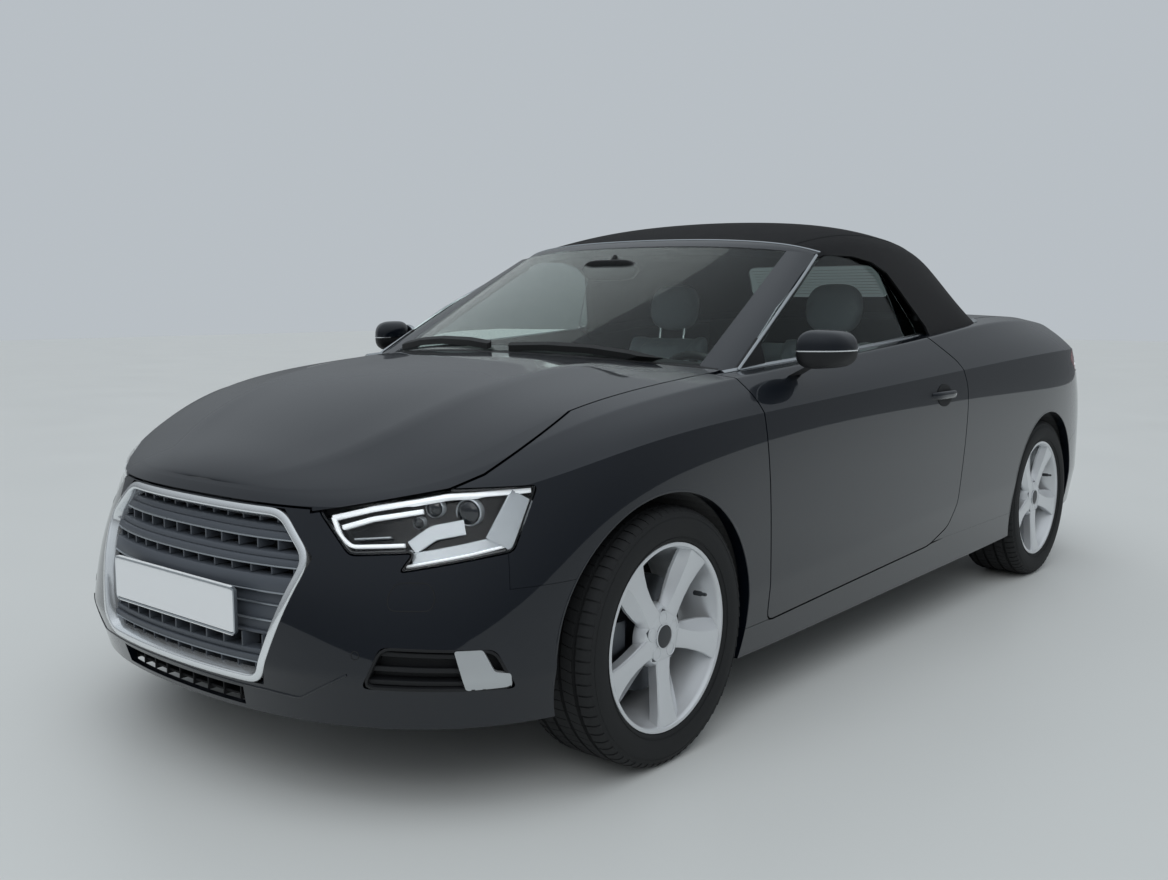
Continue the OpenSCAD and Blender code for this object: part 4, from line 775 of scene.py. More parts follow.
# ------------------------------------------------------------------ soft top
# Black woven acrylic cloth over rubber and a cotton lining, stretched over four bows.
# It is sewn from three lengths: one over the middle and one down each side.
TOP = held([
    [(0, -295, 1326), (280, -287, 1322), (462, -261, 1310), (566, -223, 1296), (634, -185, 1274),
        (724, -182, 1110), (792, -182, 950)],
    [(0, -120, 1376), (280, -115, 1368), (466, -105, 1347), (578, -95, 1320), (638, -90, 1283),
        (726, -90, 1110), (794, -90, 955)],
    [(0, 110, 1413), (280, 112, 1404), (466, 115, 1382), (582, 120, 1346), (642, 120, 1290),
        (728, 120, 1110), (795, 120, 955)],
    [(0, 340, 1412), (280, 342, 1402), (466, 345, 1379), (582, 350, 1342), (642, 350, 1284),
        (728, 350, 1120), (794, 350, 975)],
    [(0, 560, 1388), (280, 560, 1379), (464, 560, 1357), (576, 560, 1322), (634, 560, 1266),
        (718, 560, 1135), (790, 560, 1000)],
    [(0, 745, 1350), (278, 742, 1342), (458, 730, 1322), (562, 712, 1287), (622, 700, 1236),
        (706, 690, 1135), (784, 680, 1018)],
    [(0, 862, 1290), (272, 857, 1284), (444, 838, 1266), (542, 812, 1234), (604, 792, 1190),
        (690, 772, 1118), (774, 752, 1028)],
    [(0, 960, 1190), (270, 954, 1187), (436, 930, 1174), (534, 898, 1154), (602, 868, 1130),
        (682, 830, 1095), (762, 790, 1034)],
    TOP_FOOT])
REAR_WINDOW = [(-330, 1135), (330, 1135), (300, 1262), (-300, 1262)]
CLOTH_T = 8
top_grid = surface([full_row(r) for r in TOP], 150, 180)
top_cloth = material("woven acrylic cloth, black", "#0c0d0f", 0.95, 0.0, Sheen_Weight=0.08,
    Sheen_Roughness=0.4, Specular_IOR_Level=0.2)


def rear_window_bar(grow):
    return front_bar(outline_offset(softened(REAR_WINDOW, 40), grow), 700, 1100)


hood_cloth = new_object("soft_top_cloth", slab(top_grid, -CLOTH_T, 0))
carve(hood_cloth, *cut(pair(lambda: window_bar(1.0)), pair(lambda: door_bar(SHUT)), rear_window_bar(0)))
carve(hood_cloth, ("DIFFERENCE", slab(header_grid, -60, 20)))
above_body(hood_cloth)
paint(hood_cloth, top_cloth, "car_body")
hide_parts("soft_top")
back_pane = new_object("rear_pane", slab(top_grid, -GLASS_T - 2, -2))
carve(back_pane, *keep(rear_window_bar(-1)))
paint(back_pane, glass, "car_body")
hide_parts("rear_window")

# ------------------------------------------------------------------ grille
# A moulded grille clipped into the bumper from behind: a chromed six-sided frame, matt grey
# blades with bright lower edges, upright ribs between them, and a plain panel behind the plate.
chrome = material("chrome plate on ABS", "#eef1f3", 0.14, 0.8)
mottle(chrome, 60, 0.10, 0.18)
blade_grey = material("moulded ABS, satin grey", "#474c53", 0.45)
grain(blade_grey, 1.4, 0.03)
dark_plastic = material("moulded polypropylene, black", "#121315", 0.62)
grain(dark_plastic, 1.8, 0.06)
bright_edge = material("satin chrome film", "#a9aeb3", 0.28, 1.0)
mottle(bright_edge, 30, 0.24, 0.34)
skin_source = skin_mesh()
skin_tree = BVHTree.FromPolygons([v.co for v in skin_source.vertices],
    [p.vertices for p in skin_source.polygons])


def cast(start, direction):
    """The first point of the body's skin from start, in mm, and the skin's normal there."""
    way = Vector(direction).normalized()
    hit, normal, _, _ = skin_tree.ray_cast(Vector(start) * MM, way)
    if hit is None:
        hit, normal, _, _ = skin_tree.find_nearest(Vector(start) * MM + way * 0.4)
    return np.array(hit) / MM, np.array(normal)


def fair(points, closed, rounds=2):
    """Evens out a line of points by averaging each with its neighbours."""
    points = np.array(points, float)
    for _ in range(rounds):
        if closed:
            points = (np.roll(points, 1, 0) + 2 * points + np.roll(points, -1, 0)) / 4
        else:
            points[1:-1] = (points[:-2] + 2 * points[1:-1] + points[2:]) / 4
    return points


def spaced(points, step, closed=False):
    """The same line with points at even steps."""
    points = np.array(points, float)
    if closed:
        points = np.vstack([points, points[:1]])
    run = np.concatenate([[0], np.cumsum(np.linalg.norm(np.diff(points, axis=0), axis=1))])
    count = max(2, int(round(run[-1] / step)))
    at = np.linspace(0, run[-1], count + 1)
    made = np.stack([np.interp(at, run, points[:, k]) for k in range(points.shape[1])], 1)
    return made[:-1] if closed else made


def built(name, points, faces):
    """A closed piece from points in mm."""
    return new_object(name, turned_out(new_mesh(name, np.array(points) * MM, faces), 1e-6))


def loft(name, rings):
    """Skins a list of rings of points, closed at both ends."""
    n, m = len(rings), len(rings[0])
    return built(name, [p for ring in rings for p in ring], tube_faces(n, m) + end_faces(n, m))


def sweep(name, path, normals, profile, closed=False):
    """A closed profile of (across, out) carried along a path, in mm, with one normal or one per point."""
    path = np.array(path, float)
    normals = np.broadcast_to(np.array(normals, float), path.shape)
    ahead = np.roll(path, -1, 0) - np.roll(path, 1, 0)
    if not closed:
        ahead[0], ahead[-1] = path[1] - path[0], path[-1] - path[-2]
    ahead /= np.linalg.norm(ahead, axis=1)[:, None]
    normals = normals - ahead * np.sum(normals * ahead, 1)[:, None]
    normals /= np.linalg.norm(normals, axis=1)[:, None]
    across = np.cross(ahead, normals)
    n, m = len(path), len(profile)
    points = [path[i] + across[i] * u + normals[i] * v for i in range(n) for u, v in profile]
    return built(name, points, tube_faces(n, m, closed) + ([] if closed else end_faces(n, m)))


def laid(name, hits, profile, closed=False, rounds=2):
    """A strip swept along (point, normal) pairs of the skin, once both are evened out."""
    return sweep(name, fair([h[0] for h in hits], closed, rounds), fair([h[1] for h in hits], closed, rounds),
        profile, closed)


def rounded(width, low, high, edge=2.0):
    """A strip's section: width across, from low to high, with its upper edges eased."""
    w = width / 2
    return [(-w, low), (w, low), (w, high - edge), (w - 0.35 * edge, high - 0.35 * edge), (w - edge, high),
        (-w + edge, high), (-w + 0.35 * edge, high - 0.35 * edge), (-w, high - edge)]


def joined(name, pieces):
    """Several loose pieces as one object, each keeping its own material."""
    shape = bmesh.new()
    finishes = []
    for piece in pieces:
        start = len(shape.faces)
        shape.from_mesh(piece.data)
        shape.faces.ensure_lookup_table()
        own = list(piece.data.materials) or [None]
        for face in shape.faces[start:]:
            finish = own[min(face.material_index, len(own) - 1)]
            if finish not in finishes:
                finishes.append(finish)
            face.material_index = finishes.index(finish)
        bpy.data.objects.remove(piece)
    made = new_object(name, bpy.data.meshes.new(name))
    shape.to_mesh(made.data)
    shape.free()
    for finish in finishes:
        made.data.materials.append(finish)
    return made


def coated(piece, finish):
    piece.data.materials.clear()
    piece.data.materials.append(finish)
    return piece


def other_side(piece):
    """The mirror image of a piece, as a piece of its own."""
    return new_object(piece.name + "_m", flipped(piece.data.copy()))


def on_both_doors(piece, label, finish, degrees=28):
    """The piece on the left door, and its mirror image on the right one."""
    pieces = {"left": piece, "right": other_side(piece)}
    for word, one in pieces.items():
        one.name = label + word
        paint(one, finish, "door_" + word, degrees)
    return pieces


def front_point(x, z):
    return cast((x, -2500, z), (0, 1, 0))


def blade(z_low, z_high, front, back, side=14.0):
    """A grille blade that follows the nose, from one side of the opening to the other."""
    edge = GRILLE[3:0:-1]
    rings = []
    for t in np.linspace(-1, 1, 61):
        ring = []
        for z, depth in ((z_low, front + 1), (z_low + 1.5, front), (z_high - 1.5, front),
                (z_high, front + 1.5), (z_high, back), (z_low, back)):
            half = np.interp(z, [p[1] for p in edge], [p[0] for p in edge]) - side
            ring.append((t * half, front_point(t * half, z)[0][1] + depth, z))
        rings.append(ring)
    return loft("blade", rings)


outline = spaced(softened(outline_offset(GRILLE, -9), 34, 8), 9, True)
grille_frame = laid("grille_frame", [front_point(p[0], p[1]) for p in outline],
    [(-9.5, -30), (9.5, -30), (9.5, 0), (8.6, 2.6), (6, 4), (-6, 4), (-8.6, 2.6), (-9.5, 0)], True)
paint(grille_frame, chrome, "car_body", 50)
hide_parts("grille")
# Each blade from its lower to its upper edge, and from its front to its back behind the nose's skin.
BLADES = []
for top, bottom in ((622, 596), (566, 540), (352, 326)):
    middle = (top + bottom) / 2
    BLADES += [(middle + 1, top, 26, 62, blade_grey), (bottom, middle, 20, 62, blade_grey),
        (bottom - 3.5, bottom, 19, 30, bright_edge)]
BLADES += [(484, 516, 22, 62, blade_grey), (480, 484, 21, 32, bright_edge), (392, 482, 38, 62, blade_grey),
    (450, 454, 33, 40, bright_edge), (414, 418, 33, 40, bright_edge), (386, 392, 30, 62, blade_grey)]
blades = [coated(blade(*sizes), finish) for *sizes, finish in BLADES]
blades.append(coated(blade(280, 664, 70, 74, 8), dark_plastic))
blades = joined("grille_blades", blades)
paint(blades, None, "car_body", 40)


def repeat_tree():
    """Copies a piece along a path, each turned a little further about the X axis."""
    tree = bpy.data.node_groups.new("repeat", "GeometryNodeTree")
    for label, kind in (("Path", "NodeSocketGeometry"), ("Piece", "NodeSocketObject"),
            ("Count", "NodeSocketInt"), ("Turn", "NodeSocketFloat"), ("Finish", "NodeSocketMaterial")):
        tree.interface.new_socket(label, in_out="INPUT", socket_type=kind)
    tree.interface.new_socket("Geometry", in_out="OUTPUT", socket_type="NodeSocketGeometry")
    given = add(tree, "NodeGroupInput").outputs
    line = add(tree, "GeometryNodeMeshToCurve", {0: given["Path"]})
    even = add(tree, "GeometryNodeResampleCurve", {"Curve": line.outputs[0], "Count": given["Count"]})
    source = add(tree, "GeometryNodeObjectInfo", {"Object": given["Piece"]})
    step = add(tree, "ShaderNodeMath", {0: add(tree, "GeometryNodeInputIndex").outputs[0], 1: given["Turn"]},
        operation="MULTIPLY")
    turn = add(tree, "ShaderNodeCombineXYZ", {"X": step.outputs[0]})
    copies = add(tree, "GeometryNodeInstanceOnPoints", {"Points": even.outputs[0],
        "Instance": source.outputs["Geometry"], "Rotation": turn.outputs[0]})
    real = add(tree, "GeometryNodeRealizeInstances", {0: copies.outputs[0]})
    finish = add(tree, "GeometryNodeSetMaterial", {"Geometry": real.outputs[0], "Material": given["Finish"]})
    add(tree, "NodeGroupOutput", {0: finish.outputs[0]})
    return tree


repeat = repeat_tree()


def repeated(name, piece, path, count, finish, turn=0.0):
    """The piece set at even steps along the path, in mm, as one plain mesh."""
    host = new_object(name, bpy.data.meshes.new(name))
    steps = [(i, i + 1) for i in range(len(path) - 1)]
    host.data.from_pydata([tuple(np.array(p, float) * MM) for p in path], steps, [])
    made = host.modifiers.new("repeat", "NODES")
    made.node_group = repeat
    given = {s.name: s.identifier for s in repeat.interface.items_tree if s.in_out == "INPUT"}
    for label, value in (("Piece", piece), ("Count", count), ("Turn", turn), ("Finish", finish)):
        made[given[label]] = value
    finished(host)
    bpy.data.objects.remove(piece)
    return coated(host, finish)


ribs = []
for low, high in ((626, 658), (570, 596), (518, 540), (352, 386), (290, 324)):
    z = (low + high) / 2
    half = 340 if z > 620 or z < 320 else 370
    rib = new_object("rib", box_mesh(-2.5, 2.5, 26, 70, low - z, high - z))
    line = [front_point(x, z)[0] * (1, 1, 0) + (0, 0, z) for x in np.linspace(-half, half, 25)]
    ribs.append(repeated("ribs", rib, line, 13, blade_grey))
grille_ribs = joined("grille_ribs", ribs)
paint(grille_ribs, None, "car_body")

# ------------------------------------------------------------------ number plates
# Blank pressed aluminium plates with a raised rim.
# Embossing round the edge stiffens the sheet; nothing is written on either.
PLATE_W, PLATE_H, PLATE_Z, REAR_PLATE_Z = 520, 110, 437, 760
RIM_INSET = 12
plate_white = material("painted aluminium sheet, white", "#e4e7e9", 0.32)
mottle(plate_white, 40, 0.26, 0.4)


def plate(name, y_face, facing, z, body, node):
    w, h = PLATE_W / 2, PLATE_H / 2
    ring = softened([(-w, -h), (w, -h), (w, h), (-w, h)], 12, 5)
    around = [np.array((p[0], y_face, z + p[1])) for p in spaced(ring, 12, True)]
    inner = [(p[0] * (1 - RIM_INSET / PLATE_W), p[1] * (1 - RIM_INSET / PLATE_H)) for p in ring]
    sheet = coated(new_object("sheet", front_bar([(p[0], p[1] + z) for p in inner],
        *sorted((y_face - facing * 1.6, y_face - facing * 8)))), plate_white)
    section = [(-5, -9), (0, -9), (0, -1), (-1.2, 0), (-4, 0), (-5, -1)]
    rim = sweep("rim", around, (0, facing, 0), section, True)
    rim_inner = sweep("rim", [a * (1 - 10 / PLATE_W, 1, 1) for a in around], (0, facing, 0),
        rounded(4, -6, -0.4, 1), True)
    made = joined(name, [sheet, coated(rim, bright_edge), coated(rim_inner, plate_white)])
    made = paint(made, None, body)
    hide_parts(node)
    return made


low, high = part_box("plate_front")
plate("number_plate_front", low[1] / MM, -1, PLATE_Z, "car_body", "plate_front")
low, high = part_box("plate_rear")
plate("number_plate_rear", high[1] / MM, 1, REAR_PLATE_Z, "boot_lid", "plate_rear")

# ------------------------------------------------------------------ air intakes and bumper details
# Black moulded slats fill the side intakes and the low one under the grille. A satin silver
# blade stands at each outer end, and round sensors and washer covers sit flush in the skin.
silver = material("satin silver lacquer on ABS", "#b9bdbf", 0.36, 0.6)
mottle(silver, 25, 0.32, 0.42)
def corner_hit(u, z, depth=0.0, s=1):
    """A point of the left corner seen square to it, moved inwards by depth, and the normal."""
    hit, normal = cast(((u + 3000) * HALF, s * (u - 3000) * HALF, z), (-1, s, 0))
    return hit + np.array((-HALF, s * HALF, 0)) * depth, normal


def corner_strip(name, line, width, low, high, depth=0.0, edge=2.0, s=1, step=12, closed=False):
    """A strip laid on a corner of the car along a line of (u, z) points."""
    hits = [corner_hit(p[0], p[1], depth, s) for p in spaced(line, step, closed)]
    return laid(name, hits, rounded(width, low, high, edge), closed, 1)


INTAKE_UZ = [(flat(x, y), z) for x, y, z in INTAKE]
(iu0, iz0), (iu1, iz1), (iu2, iz2), (iu3, iz3) = INTAKE_UZ
parts = [coated(corner_strip("lip", softened(outline_offset(INTAKE_UZ, -3), CORNER_SOFT), 7, -30, 1.5,
    closed=True), dark_plastic)]
for share in (0.16, 0.5, 0.84):
    line = [(iu0 + (iu3 - iu0) * share + 4, iz0 + (iz3 - iz0) * share),
        (iu1 + (iu2 - iu1) * share - 48, iz1 + (iz2 - iz1) * share)]
    parts.append(coated(corner_strip("slat", line, 11, -26, -4, 4), dark_plastic))
BLADE_UZ = [(iu2 - 136, iz1 + 1), (iu2 - 74, iz1 + 1), (iu2 - 49, iz2 + 42), (iu2 - 14, iz2 + 36),
    (iu2 - 12, iz2 + 6), (iu2 - 111, iz2 + 4)]
wing_blade = new_object("blade", skin_mesh(-1.5))
carve(wing_blade, *cut(inner_skin(12)) + keep(corner_bar([(u / HALF, 0, z) for u, z in BLADE_UZ], 1, 0, 7))
    + keep(box_mesh(300, 1000, -2300, -1500, 200, 600)))
parts.append(coated(wing_blade, silver))
back_wall = new_object("back", skin_mesh(34))
carve(back_wall, *cut(inner_skin(38)) + keep(corner_bar(INTAKE, 1, 6, CORNER_SOFT)))
parts.append(coated(back_wall, dark_plastic))
intake = joined("intake_left", parts)
intakes = joined("side_intakes", [other_side(intake), intake])
paint(intakes, None, "car_body")
low_parts = [coated(blade(z0, z1, 26, 60, 30), dark_plastic) for z0, z1 in ((222, 228), (244, 250))]
for x in np.linspace(-270, 270, 10):
    y = front_point(x, 236)[0][1]
    rib = new_object("rib", box_mesh(x - 2, x + 2, y + 24, y + 62, 214, 260))
    low_parts.append(coated(rib, dark_plastic))
low_parts.append(coated(blade(206, 266, 66, 70, 0), dark_plastic))
low_intake = joined("low_intake", low_parts)
paint(low_intake, None, "car_body")
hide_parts("air_ducts")
lip = []
for line in ([(-330, 268), (0, 272), (330, 268)], [(330, 268), (420, 262), (540, 330)]):
    at = spaced(line, 12)
    hits = [front_point(p[0], p[1]) for p in at]
    strip = sweep("edge", [h[0] for h in hits], [h[1] for h in hits], rounded(5, -3, 2.2, 1.5))
    lip += [strip] if line[0][0] < 0 else [other_side(strip), strip]
paint(joined("bumper_edge", [coated(p, car_paint) for p in lip]), None, "car_body")
cover = [(-50, -28), (42, -28), (52, 0), (40, 30), (-34, 30), (-52, 0)]
centre = (flat(620, -1913), 495)
around = [(centre[0] + p[0], centre[1] + p[1]) for p in softened(cover, 16)]
cover = corner_strip("cover", around, 2.4, -3, 0.7, edge=0.6, step=6, closed=True)
around = disc(9, 16, flat(545, -2010), 372)
sensor = corner_strip("sensor", around, 2.2, -2, 0.8, edge=0.6, step=3, closed=True)
marks = joined("bumper_covers", [other_side(cover), cover, other_side(sensor), sensor])
paint(coated(marks, dark_plastic), None, "car_body")

# ------------------------------------------------------------------ headlamps
# A clear polycarbonate cover flush with the body over a black moulded housing. A frosted light
# guide runs along the top and down the inner end, beside two lenses and a silver reflector.
lamp_clear = material("polycarbonate, clear hard coat", "#f4f7f8", 0.02, 0.0, Transmission_Weight=1.0,
    IOR=1.2, Alpha=0.28)
mottle(lamp_clear, 70, 0.01, 0.04)
lamp_black = material("moulded housing, gloss black", "#0e1013", 0.22)
grain(lamp_black, 2.5, 0.02)
guide = material("frosted acrylic light guide", "#f3f6f8", 0.3, 0.0, Emission_Strength=0.35,
    Emission_Color=linear("#eef4f8"))
mottle(guide, 8, 0.24, 0.36)
reflector = material("aluminised reflector", "#cfd4d8", 0.3, 0.55)
mottle(reflector, 20, 0.18, 0.3)
lens_glass = material("lens glass over dark shutter", "#1d2126", 0.04, 0.0, Coat_Weight=1.0,
    Coat_Roughness=0.02)
mottle(lens_glass, 30, 0.03, 0.06)
LAMP_UZ = [(flat(x, y), z) for x, y, z in LAMP]
U_IN, U_OUT = LAMP_UZ[0][0], LAMP_UZ[4][0]
LENS_SIDES = 40


def lamp_layer(name, front, back, grow, finish):
    """A layer of the lamp between two depths under the body's skin."""
    piece = new_object(name, skin_mesh(front))
    carve(piece, *cut(skin_mesh(back, 0, 5, 4, 20)) + keep(box_mesh(100, 1000, -2300, FRONT_Y, 305, 1200))
        + keep(corner_bar(LAMP, 1, grow, LAMP_SOFT)) + cut(bonnet_region(SHUT / 2)))
    return coated(piece, finish)


def lens(u, z, depth, radius):
    """A round lens facing forwards, a bulged disc in a bright ring."""
    middle, _ = corner_hit(u, z, depth)
    facing = Vector((0.35, -0.93, 0.0)).normalized()
    turn = Vector((0, 0, 1)).rotation_difference(facing).to_matrix().to_4x4()
    rings = []
    bulge = [(0.02, 9), (0.35, 8.3), (0.65, 6.2), (0.9, 2.6), (0.98, -4), (0.02, -6)]
    collar = [(1.0, -14), (1.0, 1), (1.06, 2.5), (1.14, 0), (1.2, -14)]
    for name, section, finish, looped in (("glass", bulge, lens_glass, False),
            ("ring", collar, reflector, True)):
        points = [(x, y, h) for r, h in section for x, y in disc(r * radius, LENS_SIDES)]
        faces = tube_faces(len(section), LENS_SIDES, looped)
        piece = built(name, points, faces if looped else faces + end_faces(len(section), LENS_SIDES))
        piece.data.transform(Matrix.Translation(Vector(middle) * MM) @ turn)
        rings.append(coated(piece, finish))
    return rings


cover_left = lamp_layer("cover", 0.0, 3.0, -0.5, lamp_clear)
inner = [lamp_layer("housing", 44, 56, -0.5, lamp_black)]
wall = lamp_layer("wall", 3.2, 56, -1.0, lamp_black)
carve(wall, *cut(corner_bar(LAMP, 1, -5, LAMP_SOFT)))
inner.append(wall)
top_line = [(U_IN + 30, 650), (-1000, 672), (-833, 701), (U_OUT - 14, 712)]
second = [(U_IN + 52, 630), (-1000, 650), (-890, 668)]
leg = [(U_IN + 30, 650), (-1072, 612), (-1046, 592), (-930, 598)]
for line, width, depth, finish in ((top_line, 11, 16, guide), (leg, 8, 16, guide), (second, 10, 22, guide),
        ([(-1040, 606), (-960, 612)], 4, 26, reflector),
        ([(-926, 554), (-790, 578), (-706, 596)], 6, 18, guide)):
    inner.append(coated(corner_strip("guide", line, width, -8, 3, depth, 2.4, step=9), finish))
for name, line, width, low, high, depth, edge in (
        ("reflector", [(-728, 600), (-672, 700)], 62, -6, 1, 14, 3),
        ("foot", [(-914, 570), (-800, 590), (-722, 606)], 24, -6, 0, 20, 3),
        ("shelf", [(-915, 590), (-868, 622), (-800, 634)], 34, -5, 0, 30, 2)):
    inner.append(coated(corner_strip(name, line, width, low, high, depth, edge, step=10), reflector))
inner += lens(-792, 664, 34, 27) + lens(-866, 672, 36, 19) + lens(-900, 640, 38, 12)
lamp_inner = joined("lamp_inner", inner)
covers = joined("headlamp_covers", [other_side(cover_left), cover_left])
paint(covers, None, "car_body")
lamp_units = joined("headlamp_units", [other_side(lamp_inner), lamp_inner])
paint(lamp_units, None, "car_body")
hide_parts("headlamps")

# ------------------------------------------------------------------ tail lamps
# Red acrylic covers wrap round the rear corners, with a clear strip for the reversing light.
# Fine ribs moulded inside scatter the light, so the red looks deep and slightly streaked.
lamp_red = material("moulded acrylic, red", "#8e0f1b", 0.06, 0.0, Coat_Weight=1.0, Coat_Roughness=0.02,
    Emission_Color=linear("#7a0a14"), Emission_Strength=0.12)
grain(lamp_red, 5, 0.25, "ShaderNodeTexWave", 0.5, bands_direction="Z")
red_part = new_object("red", skin_mesh())
carve(red_part, *cut(skin_mesh(28, 150, 5, 4, 20)) + keep(tail_bars(-0.3))
    + keep(box_mesh(-1200, 1200, 1000, 2300, 305, 1200)) + cut(lid_region(SHUT), inside_plan(SHUT / 2)))
tail_parts = [coated(red_part, lamp_red)]
for z, width, finish in ((846, 11, guide), (818, 6, lamp_black), (874, 6, lamp_black)):
    ends = [(flat(850, 1725, -1), z), (flat(700, 1945, -1), z)]
    strip = corner_strip("strip", ends, width, -6, 0.8, 0, 1.2, -1, 10)
    tail_parts += [other_side(coated(strip, finish)), strip]
tails = paint(joined("tail_lamp_covers", tail_parts), None, "car_body")
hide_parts("tail_lamps")

# ------------------------------------------------------------------ wheels and tyres
# Cast five-spoke alloy wheels, turned and lacquered silver, with radial tyres of black rubber.
# The tread is cut in blocks between four grooves; dark caps cover the bolts and the centre.
alloy = material("cast aluminium, silver lacquer", "#d3d6d9", 0.3, 0.55, Coat_Weight=0.6,
    Coat_Roughness=0.08)
grain(alloy, 0.9, 0.012)
rubber = material("vulcanised rubber, black", "#1a1b1c", 0.78)
grain(rubber, 1.6, 0.05)
cap_grey = material("moulded nylon, dark grey", "#2d3033", 0.4)
grain(cap_grey, 1.2, 0.02)
WHEEL_SPIN = 96
TYRE_HALF, RIM_R, RIM_HALF = 112.5, 232, 101.5
PITCHES = 72
BOLT_R, STEM_R = 46, 178


def lathe(name, profile, steps=WHEEL_SPIN):
    """Turns a closed section of (radius, x) points about the X axis."""
    points = [(x, r * math.cos(a), r * math.sin(a)) for a in turns(steps) for r, x in profile]
    return built(name, points, tube_faces(steps, len(profile), True))


def five_round(name, shape, finish, degrees):
    """Five copies round the wheel's axis, the whole set turned by degrees."""
    made = repeated(name, shape, [(0, 0, 0), (0.01, 0, 0)], 5, finish, 2 * math.pi / 5)
    made.data.transform(Matrix.Rotation(math.radians(degrees), 4, "X"))
    return made


def tyre_mesh():
    h, groove = TYRE_HALF, []
    for x in (-66, -24, 24, 66):
        groove += [(313.5, x - 5), (306.5, x - 3.2), (306.5, x + 3.2), (313.5, x + 5)]
    outer = [(RIM_R - 3, -h + 20), (RIM_R + 3, -h + 9), (RIM_R + 14, -h + 3.4), (RIM_R + 34, -h),
        (TYRE_R - 40, -h + 0.3), (TYRE_R - 27, -h + 2.5), (TYRE_R - 16, -h + 7), (TYRE_R - 8.5, -h + 14),
        (TYRE_R - 5, -h + 24)]
    inside = [(RIM_R - 3, h - 30), (RIM_R + 20, 0), (RIM_R - 3, -h + 30)]
    body = lathe("tyre", outer + groove + [(r, -x) for r, x in outer[::-1]] + inside)
    half = math.pi * TYRE_R / PITCHES
    shoulder = []
    for s in (1, -1):
        rings = []
        for x, r in ((71.5, 316.6), (84, 315.6), (96, 311.8), (104, 304.5)):
            rings.append([(s * x, -half * 0.84, r - 8), (s * x + s * 2, half * 0.84, r - 8),
                (s * x + s * 2, half * 0.84, r), (s * x, -half * 0.84, r)])
        shoulder.append(loft("block", rings))
    for x0, x1, lean in ((-61, -29, 3), (-19, 19, 0), (29, 61, -3)):
        shoulder.append(loft("block", [[(x, -half * 0.93 + lean * t, 308), (x, half * 0.93 + lean * t, 308),
            (x, half * 0.93 + lean * t, 316.9), (x, -half * 0.93 + lean * t, 316.9)]
            for x, t in ((x0, -1), ((x0 + x1) / 2, 0), (x1, 1))]))
    block = joined("block", shoulder)
    block.data.transform(Matrix.Translation((0, 0, -TYRE_R * MM)))
    around = [(0, -y, x) for x, y in disc(TYRE_R, PITCHES)]
    tread = repeated("tread", block, around, PITCHES, rubber, 2 * math.pi / PITCHES)
    bands = [lathe("band", [(r - 1, x - 0.9), (r - 1, x + 0.9), (r, x + 0.9), (r, x - 0.9)])
        for r, x in ((RIM_R + 12, TYRE_HALF - 3.6), (TYRE_R - 24, TYRE_HALF - 3.4))]
    return joined("tyre", [coated(body, rubber), tread] + [coated(b, rubber) for b in bands])


def rim_mesh():
    seat, edge = RIM_R - 11.5, RIM_HALF
    barrel = lathe("barrel", [(RIM_R, -edge), (RIM_R, -edge + 6), (seat, -edge + 7), (seat, -edge + 38),
        (RIM_R - 36, -48), (RIM_R - 36, 22), (seat, edge - 44), (seat, edge - 8), (RIM_R - 1, edge - 7),
        (RIM_R, edge - 4), (RIM_R, edge - 1), (RIM_R - 1, edge), (RIM_R - 9, edge), (RIM_R - 11, edge - 2),
        (RIM_R - 14, edge - 10), (RIM_R - 22, edge - 40), (RIM_R - 43, 24), (RIM_R - 43, -50),
        (seat - 7, -edge + 42), (seat - 7, -edge + 4), (RIM_R - 6, -edge)])
    boss = lathe("boss", [(27, 50), (27, 82), (33, 84), (60, 83), (70, 79), (76, 70), (80, 58), (80, 50)])
    rings = []
    for r, left, right, bevel, dish in ((58, -27, 24, 8, 0), (84, -24, 23, 14, 2), (115, -22, 23, 24, 3),
            (150, -23, 26, 30, 3), (185, -27, 32, 30, 1), (206, -32, 38, 26, 0), (219, -36, 43, 18, -1)):
        face = 83 + (r - 58) * 0.085 - dish
        rings.append([(face - 34, right - 4, r), (face - 5, right + 2, r), (face - 1, right, r),
            (face, right - 3, r), (face + 0.6, (left + right) / 2, r), (face, left + 2, r),
            (face - 1.5, left, r), (face - 15, left - bevel, r), (face - 22, left - bevel - 1, r),
            (face - 36, left - 2, r)])
    spokes = five_round("spokes", loft("spoke", rings), alloy, -34)
    body = joined("rim", [coated(barrel, alloy), coated(boss, alloy), spokes])
    bolt = lathe("bolt", [(0.3, 70), (0.3, 80.6), (9, 80.4), (11.5, 79), (12.5, 76), (12.5, 70)], 24)
    well = lathe("well", [(13.5, 66), (13.5, 84.4), (16.5, 84.8), (17.5, 83), (17.5, 66)], 24)
    for piece in (bolt, well):
        piece.data.transform(Matrix.Translation((0, 0, BOLT_R * MM)))
    bolts, wells = five_round("bolts", bolt, cap_grey, 2), five_round("wells", well, alloy, 2)
    cap = lathe("cap", [(0.3, 78), (0.3, 87.2), (20, 87), (26, 86), (29, 85), (30.5, 84), (31, 80)], 48)
    band = lathe("band", [(28.2, 84), (28.2, 87.4), (30.6, 86.9), (30.8, 84)], 48)
    stem = lathe("stem", [(0.3, 60), (0.3, 96), (3.6, 96), (4.2, 94), (4.4, 84), (6.5, 80), (6.5, 60)], 16)
    stem.data.transform(Matrix.Translation((0, STEM_R * math.cos(0.42) * MM, STEM_R * math.sin(0.42) * MM)))
    caps = [bolts, wells, coated(cap, cap_grey), coated(band, alloy), coated(stem, cap_grey)]
    return body, joined("caps", caps)


